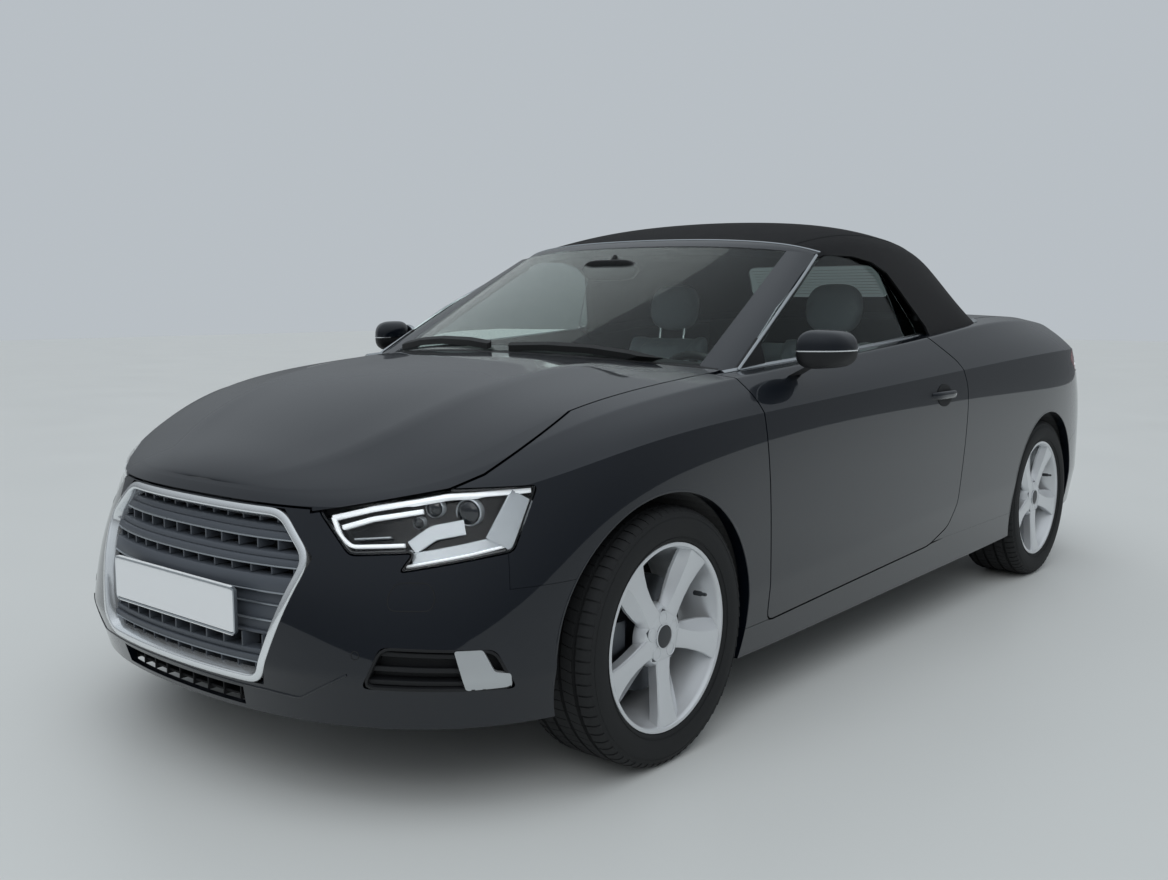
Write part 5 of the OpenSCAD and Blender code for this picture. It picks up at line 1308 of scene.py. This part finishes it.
tyre_shape = tyre_mesh()
rim_shape, cap_shape = rim_mesh()
for joint in frame["joints"]:
    if not joint["name"].startswith("roll_"):
        continue
    spot = joint["name"][5:]
    at = Matrix.Translation(Vector(joint["pos_m"]))
    if spot.endswith("right"):
        at = at @ Matrix.Scale(-1, 4, (1, 0, 0))
    for word, shape, slot_name in (("tyre_", tyre_shape, "tyre_rubber"), ("alloy_", rim_shape, "wheel_alloy"),
            ("wheel_caps_", cap_shape, "black_plastic")):
        piece = new_object(("tread_" if word == "tyre_" else word) + spot, shape.data.copy())
        piece.data.transform(at)
        if spot.endswith("right"):
            piece.data.flip_normals()
        paint(piece, None, "wheel_" + spot, 32)
        if word != "wheel_caps_":
            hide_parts(("tyre_" if word == "tyre_" else "rim_") + spot)
for shape in (tyre_shape, rim_shape, cap_shape):
    bpy.data.objects.remove(shape)

# ------------------------------------------------------------------ bright trim
# Anodised aluminium strips, rolled and bent: along the belt line, round the foot of the soft
# top, up the windscreen pillars and over the header. They are clipped on from outside.
aluminium = material("anodised aluminium, brushed", "#c2c6c9", 0.22, 1.0)
tree = aluminium.node_tree
along = add(tree, "ShaderNodeMapping", {"Vector": add(tree, "ShaderNodeTexCoord").outputs["Object"],
    "Scale": (900.0, 12.0, 900.0)})
streaks = add(tree, "ShaderNodeTexNoise", {"Vector": along.outputs[0], "Scale": 1.0})
spread = add(tree, "ShaderNodeMapRange", {"Value": streaks.outputs[0], "To Min": 0.16, "To Max": 0.3})
tree.links.new(spread.outputs[0], tree.nodes["Principled BSDF"].inputs["Roughness"])
rubber_seal = material("EPDM rubber seal, matt", "#0f1011", 0.7)
grain(rubber_seal, 1.2, 0.03)


def curve_line(points, step):
    """A smooth line through the given points, at even steps."""
    points = np.array(points, float)
    ends = np.vstack([2 * points[0] - points[1], points, 2 * points[-1] - points[-2]])
    made = []
    for k in range(len(points) - 1):
        p0, p1, p2, p3 = ends[k:k + 4]
        for t in np.linspace(0, 1, 13)[:-1]:
            made.append(0.5 * (2 * p1 + (p2 - p0) * t + (2 * p0 - 5 * p1 + 4 * p2 - p3) * t ** 2
                + (3 * p1 - p0 - 3 * p2 + p3) * t ** 3))
    return spaced(made + [points[-1]], step)


def on_belt(x, y):
    """A point of the shoulder of the left side, found from above, and its normal."""
    return cast((x, y, 1400), (0, 0, -1))


BELT = [(742, -905), (751, -600), (756, -300), (757, 0), (754, 249)]
BELT_REAR = [(753, 257), (752, 420), (752, 620), (752, 760), (744, 835), (715, 882)]
door_belt, rear_belt = (coated(sweep("belt", fair([on_belt(*p)[0] for p in spaced(nodes, 12)], False),
    (0.5, 0, 0.86), rounded(14, -4, 5, 2.5)), aluminium) for nodes in (BELT, BELT_REAR))
on_both_doors(door_belt, "belt_trim_", None)
foot = [(p[0], p[1] + 9) for p in TOP_FOOT]
line = spaced([(-x, y) for x, y in foot[:0:-1]] + foot, 14)
hoop = laid("hoop", [on_belt(*p) for p in line], rounded(14, -5, 5, 2.5), False, 4)
hoop = joined("belt_trim_hoop", [other_side(rear_belt), rear_belt, coated(hoop, aluminium)])
paint(hoop, None, "car_body")

pillar_edge = curve_line([(749, -838, 934), (706, -548, 1097), (668, -360, 1190), (637, -214, 1264)], 10)
facing = (0.72, 0.1, 0.68)
pillar_strip = coated(sweep("pillar", pillar_edge, facing, rounded(9, -3, 4, 2)), aluminium)
seal = coated(sweep("seal", pillar_edge + (-4, 5, -9), facing, rounded(12, -5, 2, 2)), rubber_seal)
pillar_trim = joined("pillar_trim", [other_side(pillar_strip), pillar_strip, other_side(seal), seal])
paint(pillar_trim, None, "car_body")
header_strip = sweep("header_strip", fair(header_grid[-2, 1:-1], False), grid_normals(header_grid)[-2, 1:-1],
    rounded(8, -3, 3, 2))
paint(coated(header_strip, aluminium), None, "car_body")

# A black sail panel fills the front corner of each door window, where the mirror is fixed.
SAIL = [(-836, 900), (-836, 938), (-700, 1020), (-690, 900)]
sail = new_object("sail_panel_left", slab(side_grid, -GLASS_T - 6, 1.2))
carve(sail, *keep(side_bar(SAIL, 540, 900)) + keep(window_bar(0)) + cut(skin_mesh(-0.3)))
on_both_doors(sail, "sail_panel_", dark_plastic)

# ------------------------------------------------------------------ door mirrors
# Two shells on a folding foot: painted above, black moulded below, with a thin bright line at
# the split. The glass is silvered and set in the rear face.
mirror_glass = material("silvered mirror glass", "#cfd4d8", 0.03, 1.0)
mottle(mirror_glass, 60, 0.02, 0.05)
low, high = (np.array(c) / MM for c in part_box("mirror_left"))
head_low = np.array((low[0] + 36, low[1] + 3, high[2] - 126))
head_high = high - (4, 4, 2)
middle = (head_low + head_high) / 2
size = (head_high - head_low) / 2


def girth_at(x):
    """How thick the housing is at x, from -1 at its foot to 1 at its tip."""
    return max(0.02, (1 - abs(x) ** 3.6)) ** 0.5 * (1.0 - 0.16 * (x + 1) / 2)


def bent(value, power):
    """The value's size raised to a power, with its sign kept."""
    return math.copysign(abs(value) ** power, value)


def mirror_half(name, upper, finish):
    """One shell of the housing, a flattened egg that is blunt at the rear."""
    rows = []
    for i in range(25):
        turn = math.pi * i / 24
        x = -math.cos(turn)
        girth = girth_at(x)
        row = []
        for k in range(17):
            a = math.pi * k / 16 * (1 if upper else -1)
            y, z = math.cos(a), math.sin(a)
            y = bent(y, 0.6) * (0.78 if y > 0 else 1.0)
            z = bent(z, 0.7) * (1.0 if upper else 0.86)
            row.append(middle + size * (x * 0.99, y * girth, z * girth - 0.1) + (0, 34 * x, 0))
        rows.append(row)
    return coated(loft(name, rows), finish)


upper_shell = mirror_half("upper", True, car_paint)
lower_shell = mirror_half("lower", False, dark_plastic)
lower_shell.data.transform(Matrix.Translation((0, 0, -1.5 * MM)))
rim_line = []
for i in range(2, 47):
    turn = 2 * math.pi * i / 48
    x = -math.cos(turn)
    side = -1 if turn < math.pi else 0.78
    rim_line.append(middle + size * (x * 0.99, side * girth_at(x), -0.1) + (0, 34 * x, -0.7))
square = [(-1.6, -1.6), (1.6, -1.6), (1.6, 1.6), (-1.6, 1.6)]
split = coated(sweep("split", rim_line, (0, 0, 1), square), chrome)
pane = [(middle[0] + size[0] * 0.84 * math.cos(a), middle[2] + size[2] * (0.62 * math.sin(a) - 0.02))
    for a in turns(32)]
pane = front_bar(pane, middle[1] + size[1] * 0.6, middle[1] + size[1] * 0.8)
glass_pane = coated(new_object("pane", pane), mirror_glass)
foot_low = np.array((low[0] + 14, low[1] + 62, low[2] + 18))
foot_high = np.array((low[0] + 82, low[1] + 62, head_low[2] + 22))
foot_rings = []
for t in np.linspace(0, 1, 7):
    at = (1 - t) * foot_low + t * foot_high
    wide, deep = 1 - 0.2 * t, 1 - 0.25 * t
    foot_rings.append([at + (22 * math.cos(a) * wide, 36 * math.sin(a) * deep, 9 * math.cos(a))
        for a in turns(20)])
foot_piece = coated(loft("foot", foot_rings), dark_plastic)
mirror = joined("mirror_unit_left", [upper_shell, lower_shell, split, glass_pane, foot_piece])
for word, piece in on_both_doors(mirror, "mirror_unit_", None, 35).items():
    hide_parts("mirror_" + word)

# ------------------------------------------------------------------ door handles and arch lips
# Painted pull handles, die-cast and screwed on from inside, stand over painted shade: a flat dark
# patch on the skin behind each grip. Each wheel arch ends in a rolled flange of the wing's own steel.
HANDLE_Y, HANDLE_Z, HANDLE_HALF = 245, 806, 92


def side_hit(y, z):
    return cast((1400, y, z), (-1, 0, 0))


# Painted shade behind each grip: a thin dark patch laid just outside the skin, not a hollow in it.
handle_shade_outline = [side_hit(HANDLE_Y + 58 * math.cos(a), HANDLE_Z - 2 + 38 * math.sin(a))[0] for a in turns(32)]
recess = loft("recess", [[hit + (1.2 - depth, 0, 0) for hit in handle_shade_outline] for depth in (-0.4, 0.6)])
grip = []
for t in np.linspace(-1, 1, 33):
    hit, _ = side_hit(HANDLE_Y + HANDLE_HALF * t, HANDLE_Z)
    out = 3 + 20 * max(0.0, 1 - abs(t) ** 3.5) ** 0.7
    wide = 13 * (1 - 0.25 * abs(t) ** 4)
    grip.append([hit + np.array((out - 8 + 6 * math.cos(a), 0, wide * math.sin(a))) for a in turns(16)])
grip = loft("grip", grip)
handle = joined("handle_left", [coated(recess, dark_plastic), coated(grip, car_paint)])
on_both_doors(handle, "handle_", None, 35)
lips = []
LIP_R = ARCH_R + 2.2
for y0 in ARCH_AT:
    line = [side_hit(y0 + LIP_R * math.cos(a), TYRE_R + LIP_R * math.sin(a))[0]
        for a in np.linspace(math.radians(-5), math.radians(185), 49)]
    lips.append(sweep("lip", fair(line, False), (1, 0, 0), rounded(7, -26, 0.6, 1.5)))
lips = joined("arch_lips", [coated(p, car_paint) for one in lips for p in (other_side(one), one)])
paint(lips, None, "car_body")

# ------------------------------------------------------------------ seats
# Grey leather over moulded foam. Each pad is blown up as cloth from a slightly smaller shape;
# the sewn channels are pressed in afterwards. The base is a plastic shell on steel runners.
leather = material("aniline leather, grey", "#a2a8ae", 0.42, 0.0, Sheen_Weight=0.12, Specular_IOR_Level=0.4)
grain(leather, 3.5, 0.12, "ShaderNodeTexVoronoi", 0.5)
mottle(leather, 140, 0.36, 0.52)
runner_steel = material("pressed steel, zinc plated", "#8d9196", 0.4, 1.0)
mottle(runner_steel, 25, 0.32, 0.5)


CLOTH_FRAMES, CLOTH_PRESSURE, CLOTH_CAP = 20, 4.0, 24
CHANNEL_HALF, CHANNEL_DEPTH = 5.0, 5.0


def blown(piece, voxel):
    """Swells a closed pad as cloth, with no point moving further than the cap, in mm."""
    remesh = piece.modifiers.new("remesh", "REMESH")
    remesh.mode = "VOXEL"
    remesh.voxel_size = voxel * MM
    finished(piece)
    start = np.array([v.co for v in piece.data.vertices])
    cloth = piece.modifiers.new("cloth", "CLOTH")
    cloth.settings.use_pressure = True
    cloth.settings.uniform_pressure_force = CLOTH_PRESSURE
    cloth.settings.effector_weights.gravity = 0.0
    cloth.settings.quality = 5
    cloth.collision_settings.use_collision = False
    cloth.point_cache.frame_start, cloth.point_cache.frame_end = 1, CLOTH_FRAMES
    for shot in range(1, CLOTH_FRAMES + 1):
        bpy.context.scene.frame_set(shot)
    finished(piece)
    bpy.context.scene.frame_set(1)
    now = np.array([v.co for v in piece.data.vertices])
    move = now - start
    length = np.maximum(np.linalg.norm(move, axis=1), 1e-9)
    move *= np.minimum(1, CLOTH_CAP * MM / length)[:, None]
    piece.data.vertices.foreach_set("co", (start + move).ravel())
    piece.data.update()
    return piece


def pad(name, rings, middle_x, channels, voxel):
    """A pad lofted through rings, blown up, then sewn along lines that far from its middle."""
    piece = blown(loft(name, rings), voxel)
    points = np.array([v.co for v in piece.data.vertices]) / MM
    normal = np.array([v.normal for v in piece.data.vertices])
    for x in channels:
        near = np.exp(-((points[:, 0] - middle_x - x) / CHANNEL_HALF) ** 2)
        points -= normal * (near * CHANNEL_DEPTH)[:, None]
    piece.data.vertices.foreach_set("co", (points * MM).ravel())
    subdivide = piece.modifiers.new("subdivide", "SUBSURF")
    subdivide.levels = subdivide.render_levels = 1
    finished(piece)
    return piece


def pad_ring(x, middle, half_y, half_z, tilt=0.0, power=3.2):
    """A rounded section across a pad at x; tilt turns it about the car's width."""
    ring = []
    for a in turns(36):
        u = half_y * bent(math.cos(a), 2 / power)
        v = half_z * bent(math.sin(a), 2 / power)
        ring.append((x, middle[0] + u * math.cos(tilt) - v * math.sin(tilt),
            middle[1] + u * math.sin(tilt) + v * math.cos(tilt)))
    return ring


def cross_pad(name, middle_x, width, middle, half_y, half_z, tilt, rise, channels=(), voxel=9.0, blunt=20.0):
    """A pad across the car: rise lifts its two side bolsters."""
    rings = []
    for t in np.linspace(-1, 1, 15):
        side = max(0.0, (abs(t) - 0.5) / 0.5)
        taper = (1 - abs(t) ** 6) ** 0.5 * 0.75 + 0.25
        lift = rise * side * side
        centre = (middle[0] - lift * math.sin(tilt), middle[1] + lift * math.cos(tilt))
        rings.append(pad_ring(middle_x + t * width / 2, centre,
            half_y * (0.93 + 0.07 * taper) * max(0.05, 1 - abs(t) ** blunt) ** 0.5, half_z * taper, tilt))
    return pad(name, rings, middle_x, channels, voxel)


# The left seat's middle, and how far its pieces stand ahead of the place that the rings are drawn in.
SEAT_AT, SEAT_FORWARD = 365, 50
base_pad = cross_pad("base", SEAT_AT, 470, (38, 415), 222, 48, -0.04, 34, (-118, 118))
back_pad = cross_pad("back", SEAT_AT, 456, (372, 720), 280, 46, math.radians(72), 42, (-112, 112))
rest_pad = cross_pad("rest", SEAT_AT, 226, (470, 1090), 92, 40, math.radians(80), 4, (), 7.0, 3.5)
shell_rings = [pad_ring(SEAT_AT + x, (45, 365), 215, 30, -0.03, 4) for x in np.linspace(-218, 218, 9)]
hard_shell = coated(loft("shell", shell_rings), dark_plastic)
rear_shell = coated(loft("rear", [pad_ring(SEAT_AT + x, (405, 690), 262, 26, math.radians(72), 3.5)
    for x in np.linspace(-196, 196, 9)]), dark_plastic)
posts = [coated(sweep("post", [(SEAT_AT + x, 442, 950), (SEAT_AT + x, 452, 1000), (SEAT_AT + x, 462, 1050)],
    (0, 1, 0), disc(6, 12)), chrome) for x in (-60, 60)]
runners = []
for x in (-155, 155):
    line = spaced([(SEAT_AT + x, -150, 215), (SEAT_AT + x, 240, 215)], 30)
    runners.append(coated(sweep("runner", line, (0, 0, 1), rounded(34, -22, 6, 4)), runner_steel))
    for y in (-110, 200):
        leg = spaced([(SEAT_AT + x, y, 214), (SEAT_AT + x, y - 8, 350)], 30)
        runners.append(coated(sweep("leg", leg, (0, 1, 0), rounded(26, -9, 9, 3)), runner_steel))
seat_frame = joined("seat_frame_left", [hard_shell, rear_shell] + posts + runners)
seat_pieces = [("seat_base", coated(base_pad, leather)), ("seat_back", coated(back_pad, leather)),
    ("head_restraint", coated(rest_pad, leather)), ("seat_frame", seat_frame)]
for label, source in seat_pieces:
    source.data.transform(Matrix.Translation((0, -SEAT_FORWARD * MM, 0)))
for word, node in (("left", "seat_front_left"), ("right", "seat_front_right")):
    for label, source in seat_pieces:
        piece = source if word == "left" else other_side(source)
        piece.name = label + "_" + word
        paint(piece, None, "car_body", 40)
        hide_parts(node)

rear_base = cross_pad("rear_seat_base", 0, 1150, (745, 470), 135, 50, 0.1, 18, (-290, -10, 10, 290), 12.0)
rear_back = cross_pad("rear_seat_back", 0, 1150, (955, 755), 205, 44, math.radians(80), 22,
    (-290, -10, 10, 290), 12.0)
for piece in (rear_base, rear_back):
    paint(coated(piece, leather), None, "car_body", 40)
    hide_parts("rear_seat")

# ------------------------------------------------------------------ dashboard, console and steering wheel
# A foamed vinyl top over a moulded carrier, with a hood for the dials, round air outlets and
# a console down the tunnel. The wheel has a leather rim on a cast core.
vinyl = material("foamed vinyl, black", "#1a1b1e", 0.6)
grain(vinyl, 1.6, 0.10, "ShaderNodeTexVoronoi", 0.7)
satin_black = material("moulded ABS, black", "#0c0d0e", 0.3)
mottle(satin_black, 50, 0.25, 0.38)
DASH = [(-915, 640), (-918, 880), (-850, 893), (-740, 912), (-640, 907), (-585, 880), (-565, 835),
    (-590, 760), (-606, 700), (-660, 610)]
dash_rings = []
for x in np.linspace(-684, 684, 73):
    hood = 26 * math.exp(-((x - SEAT_AT) / 150) ** 4)
    scoop = 10 * math.exp(-(x / 160) ** 4)
    ends = max(0.0, (abs(x) - 600) / 84) ** 2
    ring = []
    for y, z in softened(DASH, 34, 5):
        lift = hood * max(0.0, (z - 860) / 50) - 30 * ends * max(0.0, (z - 700) / 210)
        y += scoop * (1 if y > -700 else 0) + 18 * ends * (1 if y < -700 else -1)
        ring.append((x, y, min(z + lift, 936)))
    dash_rings.append(ring)
dash_top = coated(loft("dash", dash_rings), vinyl)
outlets = []
for x in (-560, -110, 110, 560):
    ring = [(u, -571, v) for u, v in disc(38, 40, x, 800)]
    outlets += [coated(sweep("outlet", ring, (0, 1, 0), rounded(7, -26, 6, 3), True), bright_edge),
        coated(sweep("core", [(x, -592, 800), (x, -566, 800)], (0, 0, 1), disc(34, 32)), satin_black)]
console_rings = []
for y in np.linspace(-690, -94, 40):
    t = (y + 690) / 596
    high = 600 - 90 * min(1, max(0, (t - 0.05) / 0.22)) ** 0.7 + 12 * math.sin(math.pi * t)
    half = 96 - 10 * t
    section = softened([(-half, 330), (half, 330), (half - 6, high), (-half + 6, high)], 22, 5)
    console_rings.append([(p[0], y, p[1]) for p in section])
console = coated(loft("console", console_rings), vinyl)
lever = [(0.5, 0), (20, 0), (24, 14), (9, 26), (8, 70), (20, 84), (23, 104), (17, 118), (0.5, 120)]
lever = coated(lathe("lever", lever, 32), satin_black)
lever.data.transform(Matrix.Translation((0, -0.43, 0.512)) @ Matrix.Rotation(math.radians(-90), 4, "Y"))
dash = joined("dashboard_and_console", [dash_top, console, lever] + outlets)
paint(dash, None, "car_body", 35)
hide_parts("dashboard")

wheel_leather = material("smooth leather, black", "#141517", 0.5)
grain(wheel_leather, 1.5, 0.06, "ShaderNodeTexVoronoi", 0.6)
wheel_place = Matrix.Translation((0.365, -0.430, 0.795)) @ Matrix.Rotation(math.radians(-65), 4, "X")
grip_ring = sweep("grip_ring", [(x, y, 0) for x, y in disc(170, 72)], (0, 0, 1), disc(13.5, 20), True)
hub_pad = []
for t, s in ((-28, 0.80), (-24, 1.0), (0, 1.05), (12, 0.94), (18, 0.72), (20, 0.3), (20.4, 0.04)):
    hub_pad.append([(70 * s * bent(math.cos(a), 0.8), 60 * s * bent(math.sin(a), 0.8), t) for a in turns(40)])
hub_pad = coated(loft("hub_pad", hub_pad), vinyl)
spokes = []
for a in (0, math.pi, -math.pi / 2):
    ways = Vector((math.cos(a), math.sin(a), 0))
    path = [tuple(ways * r + Vector((0, 0, z))) for r, z in ((52, -6), (85, -9), (120, -7), (160, -2))]
    spoke = sweep("spoke", path, (0, 0, 1), rounded(34 if a >= 0 else 26, -6, 6, 3))
    spokes.append(coated(spoke, bright_edge))
column = coated(sweep("column", [(0, 0, -188), (0, 0, -22)], (0, 1, 0), disc(13.8, 24)), satin_black)
steering = joined("steering_wheel_unit", [coated(grip_ring, wheel_leather), hub_pad, column] + spokes)
steering.data.transform(wheel_place)
paint(steering, None, "steering_wheel", 40)
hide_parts("steering_wheel")

glass_rings = []
for x in np.linspace(-114, 114, 21):
    t = abs(x) / 114
    half = 34 * (1 - t ** 5) ** 0.5 * 0.95 + 3
    glass_rings.append(pad_ring(x, (-465, 1222), 10, half, 0.12, 4))
mirror_body = coated(loft("mirror_body", glass_rings), satin_black)
stalk = [(0, -462, 1236), (0, -450, 1255), (0, -436, 1268)]
stalk = coated(sweep("stalk", stalk, (1, 0, 0), disc(9, 16)), satin_black)
face_rings = [pad_ring(x, (-453.5, 1222), 1.2, 24 * (1 - (abs(x) / 106) ** 5) ** 0.5 + 1, 0.12, 4)
    for x in np.linspace(-104, 104, 17)]
face = coated(loft("face", face_rings), mirror_glass)
inside = joined("interior_mirror_unit", [mirror_body, stalk, face])
paint(inside, None, "car_body", 35)
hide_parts("interior_mirror")

# ------------------------------------------------------------------ soft top details
# Two seams run the length of the roof, each a sewn and taped join; heating wires are printed
# on the rear pane. The cloth is held in tension between the header and the tonneau.
weave_tree = top_cloth.node_tree
where = add(weave_tree, "ShaderNodeTexCoord").outputs["Object"]
threads, picks = (add(weave_tree, "ShaderNodeTexWave", {"Vector": where, "Scale": 260.0, "Distortion": 0.6,
    "Detail": 1.0}, bands_direction=way) for way in "XY")
cross = add(weave_tree, "ShaderNodeMath", {0: threads.outputs[1], 1: picks.outputs[1]}, operation="MAXIMUM")
raised = add(weave_tree, "ShaderNodeBump", {"Height": cross.outputs[0], "Distance": 0.0004, "Strength": 0.6})
weave_tree.links.new(raised.outputs["Normal"], weave_tree.nodes["Principled BSDF"].inputs["Normal"])
# Painted shade in the weave: darker where its relief is low, lighter on the raised threads.
painted_weave_shade = add(weave_tree, "ShaderNodeMix", {"Factor": cross.outputs[0], "A": linear("#08090a"),
    "B": linear("#131417")}, data_type="RGBA")
weave_tree.links.new(painted_weave_shade.outputs["Result"], weave_tree.nodes["Principled BSDF"].inputs["Base Color"])
normals_top = grid_normals(top_grid)
seam_pieces = []
for share in (0.30, 0.70):
    k = int(round(share * (top_grid.shape[1] - 1)))
    rows = slice(6, int(0.93 * top_grid.shape[0]))
    line = fair(top_grid[rows, k], False)
    seam_pieces.append(sweep("seam", line, normals_top[rows, k], rounded(16, -2, 1.3, 1)))
seam_pieces = joined("top_seams", [coated(p, top_cloth) for p in seam_pieces])
paint(seam_pieces, None, "car_body")
pane_tree = BVHTree.FromPolygons([v.co for v in back_pane.data.vertices],
    [p.vertices for p in back_pane.data.polygons])
print_line = material("fired silver print, brown", "#6b4a34", 0.5)
mottle(print_line, 20, 0.4, 0.6)
wires = []
wire_section = [(-0.6, 0.0), (0.6, 0.0), (0.6, 0.4), (-0.6, 0.4)]
for z in np.linspace(1150, 1246, 9):
    line = []
    for x in np.linspace(-285, 285, 30):
        hit = pane_tree.ray_cast(Vector((x * MM, 3.0, z * MM)), Vector((0, -1, 0)))[0]
        if hit is not None:
            line.append(np.array(hit) / MM)
    if len(line) > 8:
        wires.append(coated(sweep("wire", line, (0, 1, 0), wire_section), print_line))
if wires:
    paint(joined("rear_pane_wires", wires), None, "car_body")

# ------------------------------------------------------------------ underbody and running gear
# Parts that keep their CAD shape: pressed and coated steel, cast iron, machined hubs, moulded
# liners and wiper blades. Each gets the finish that its own process leaves.
cowl.data.materials[0] = dark_plastic
e_coat = material("electro-dipped steel, black", "#1c1d1f", 0.55)
mottle(e_coat, 35, 0.45, 0.68)
body_grey = material("primed steel, dark grey", "#33363a", 0.6)
mottle(body_grey, 80, 0.5, 0.7)
cast_metal = material("cast aluminium, sand finish", "#8b8e91", 0.55, 1.0)
grain(cast_metal, 1.8, 0.15)
stainless = material("stainless steel, heat tinted", "#8f8a82", 0.35, 1.0)
mottle(stainless, 45, 0.26, 0.45)
iron = material("cast iron, turned", "#5c5f63", 0.38, 1.0)
mottle(iron, 12, 0.3, 0.5)
liner_felt = material("needled felt liner", "#141516", 0.95, 0.0, Sheen_Weight=0.2)
grain(liner_felt, 2.2, 0.5)
carpet = material("tufted carpet, charcoal", "#1f2124", 0.95, 0.0, Sheen_Weight=0.3)
grain(carpet, 2.0, 0.8)
wiper_rubber = material("painted steel and rubber, black", "#0e0f10", 0.45)
mottle(wiper_rubber, 20, 0.38, 0.55)
FINISHES = {"floor_pan": carpet, "bulkheads": body_grey, "front_subframe": e_coat, "rear_axle": e_coat,
    "wheel_liners": liner_felt, "engine_block": cast_metal, "exhaust": stainless, "wipers": wiper_rubber,
    "knuckle_left": iron, "knuckle_right": iron, "hub_front_left": iron, "hub_front_right": iron,
    "hub_rear_left": iron, "hub_rear_right": iron}
for node, finish in FINISHES.items():
    for place in frame["nodes"][node].material_slots:
        place.material = finish

# ------------------------------------------------------------------ shared shells
# The shared shells are taken away.
for source in (thick_shell, thin_shell, whole_body):
    bpy.data.objects.remove(source)
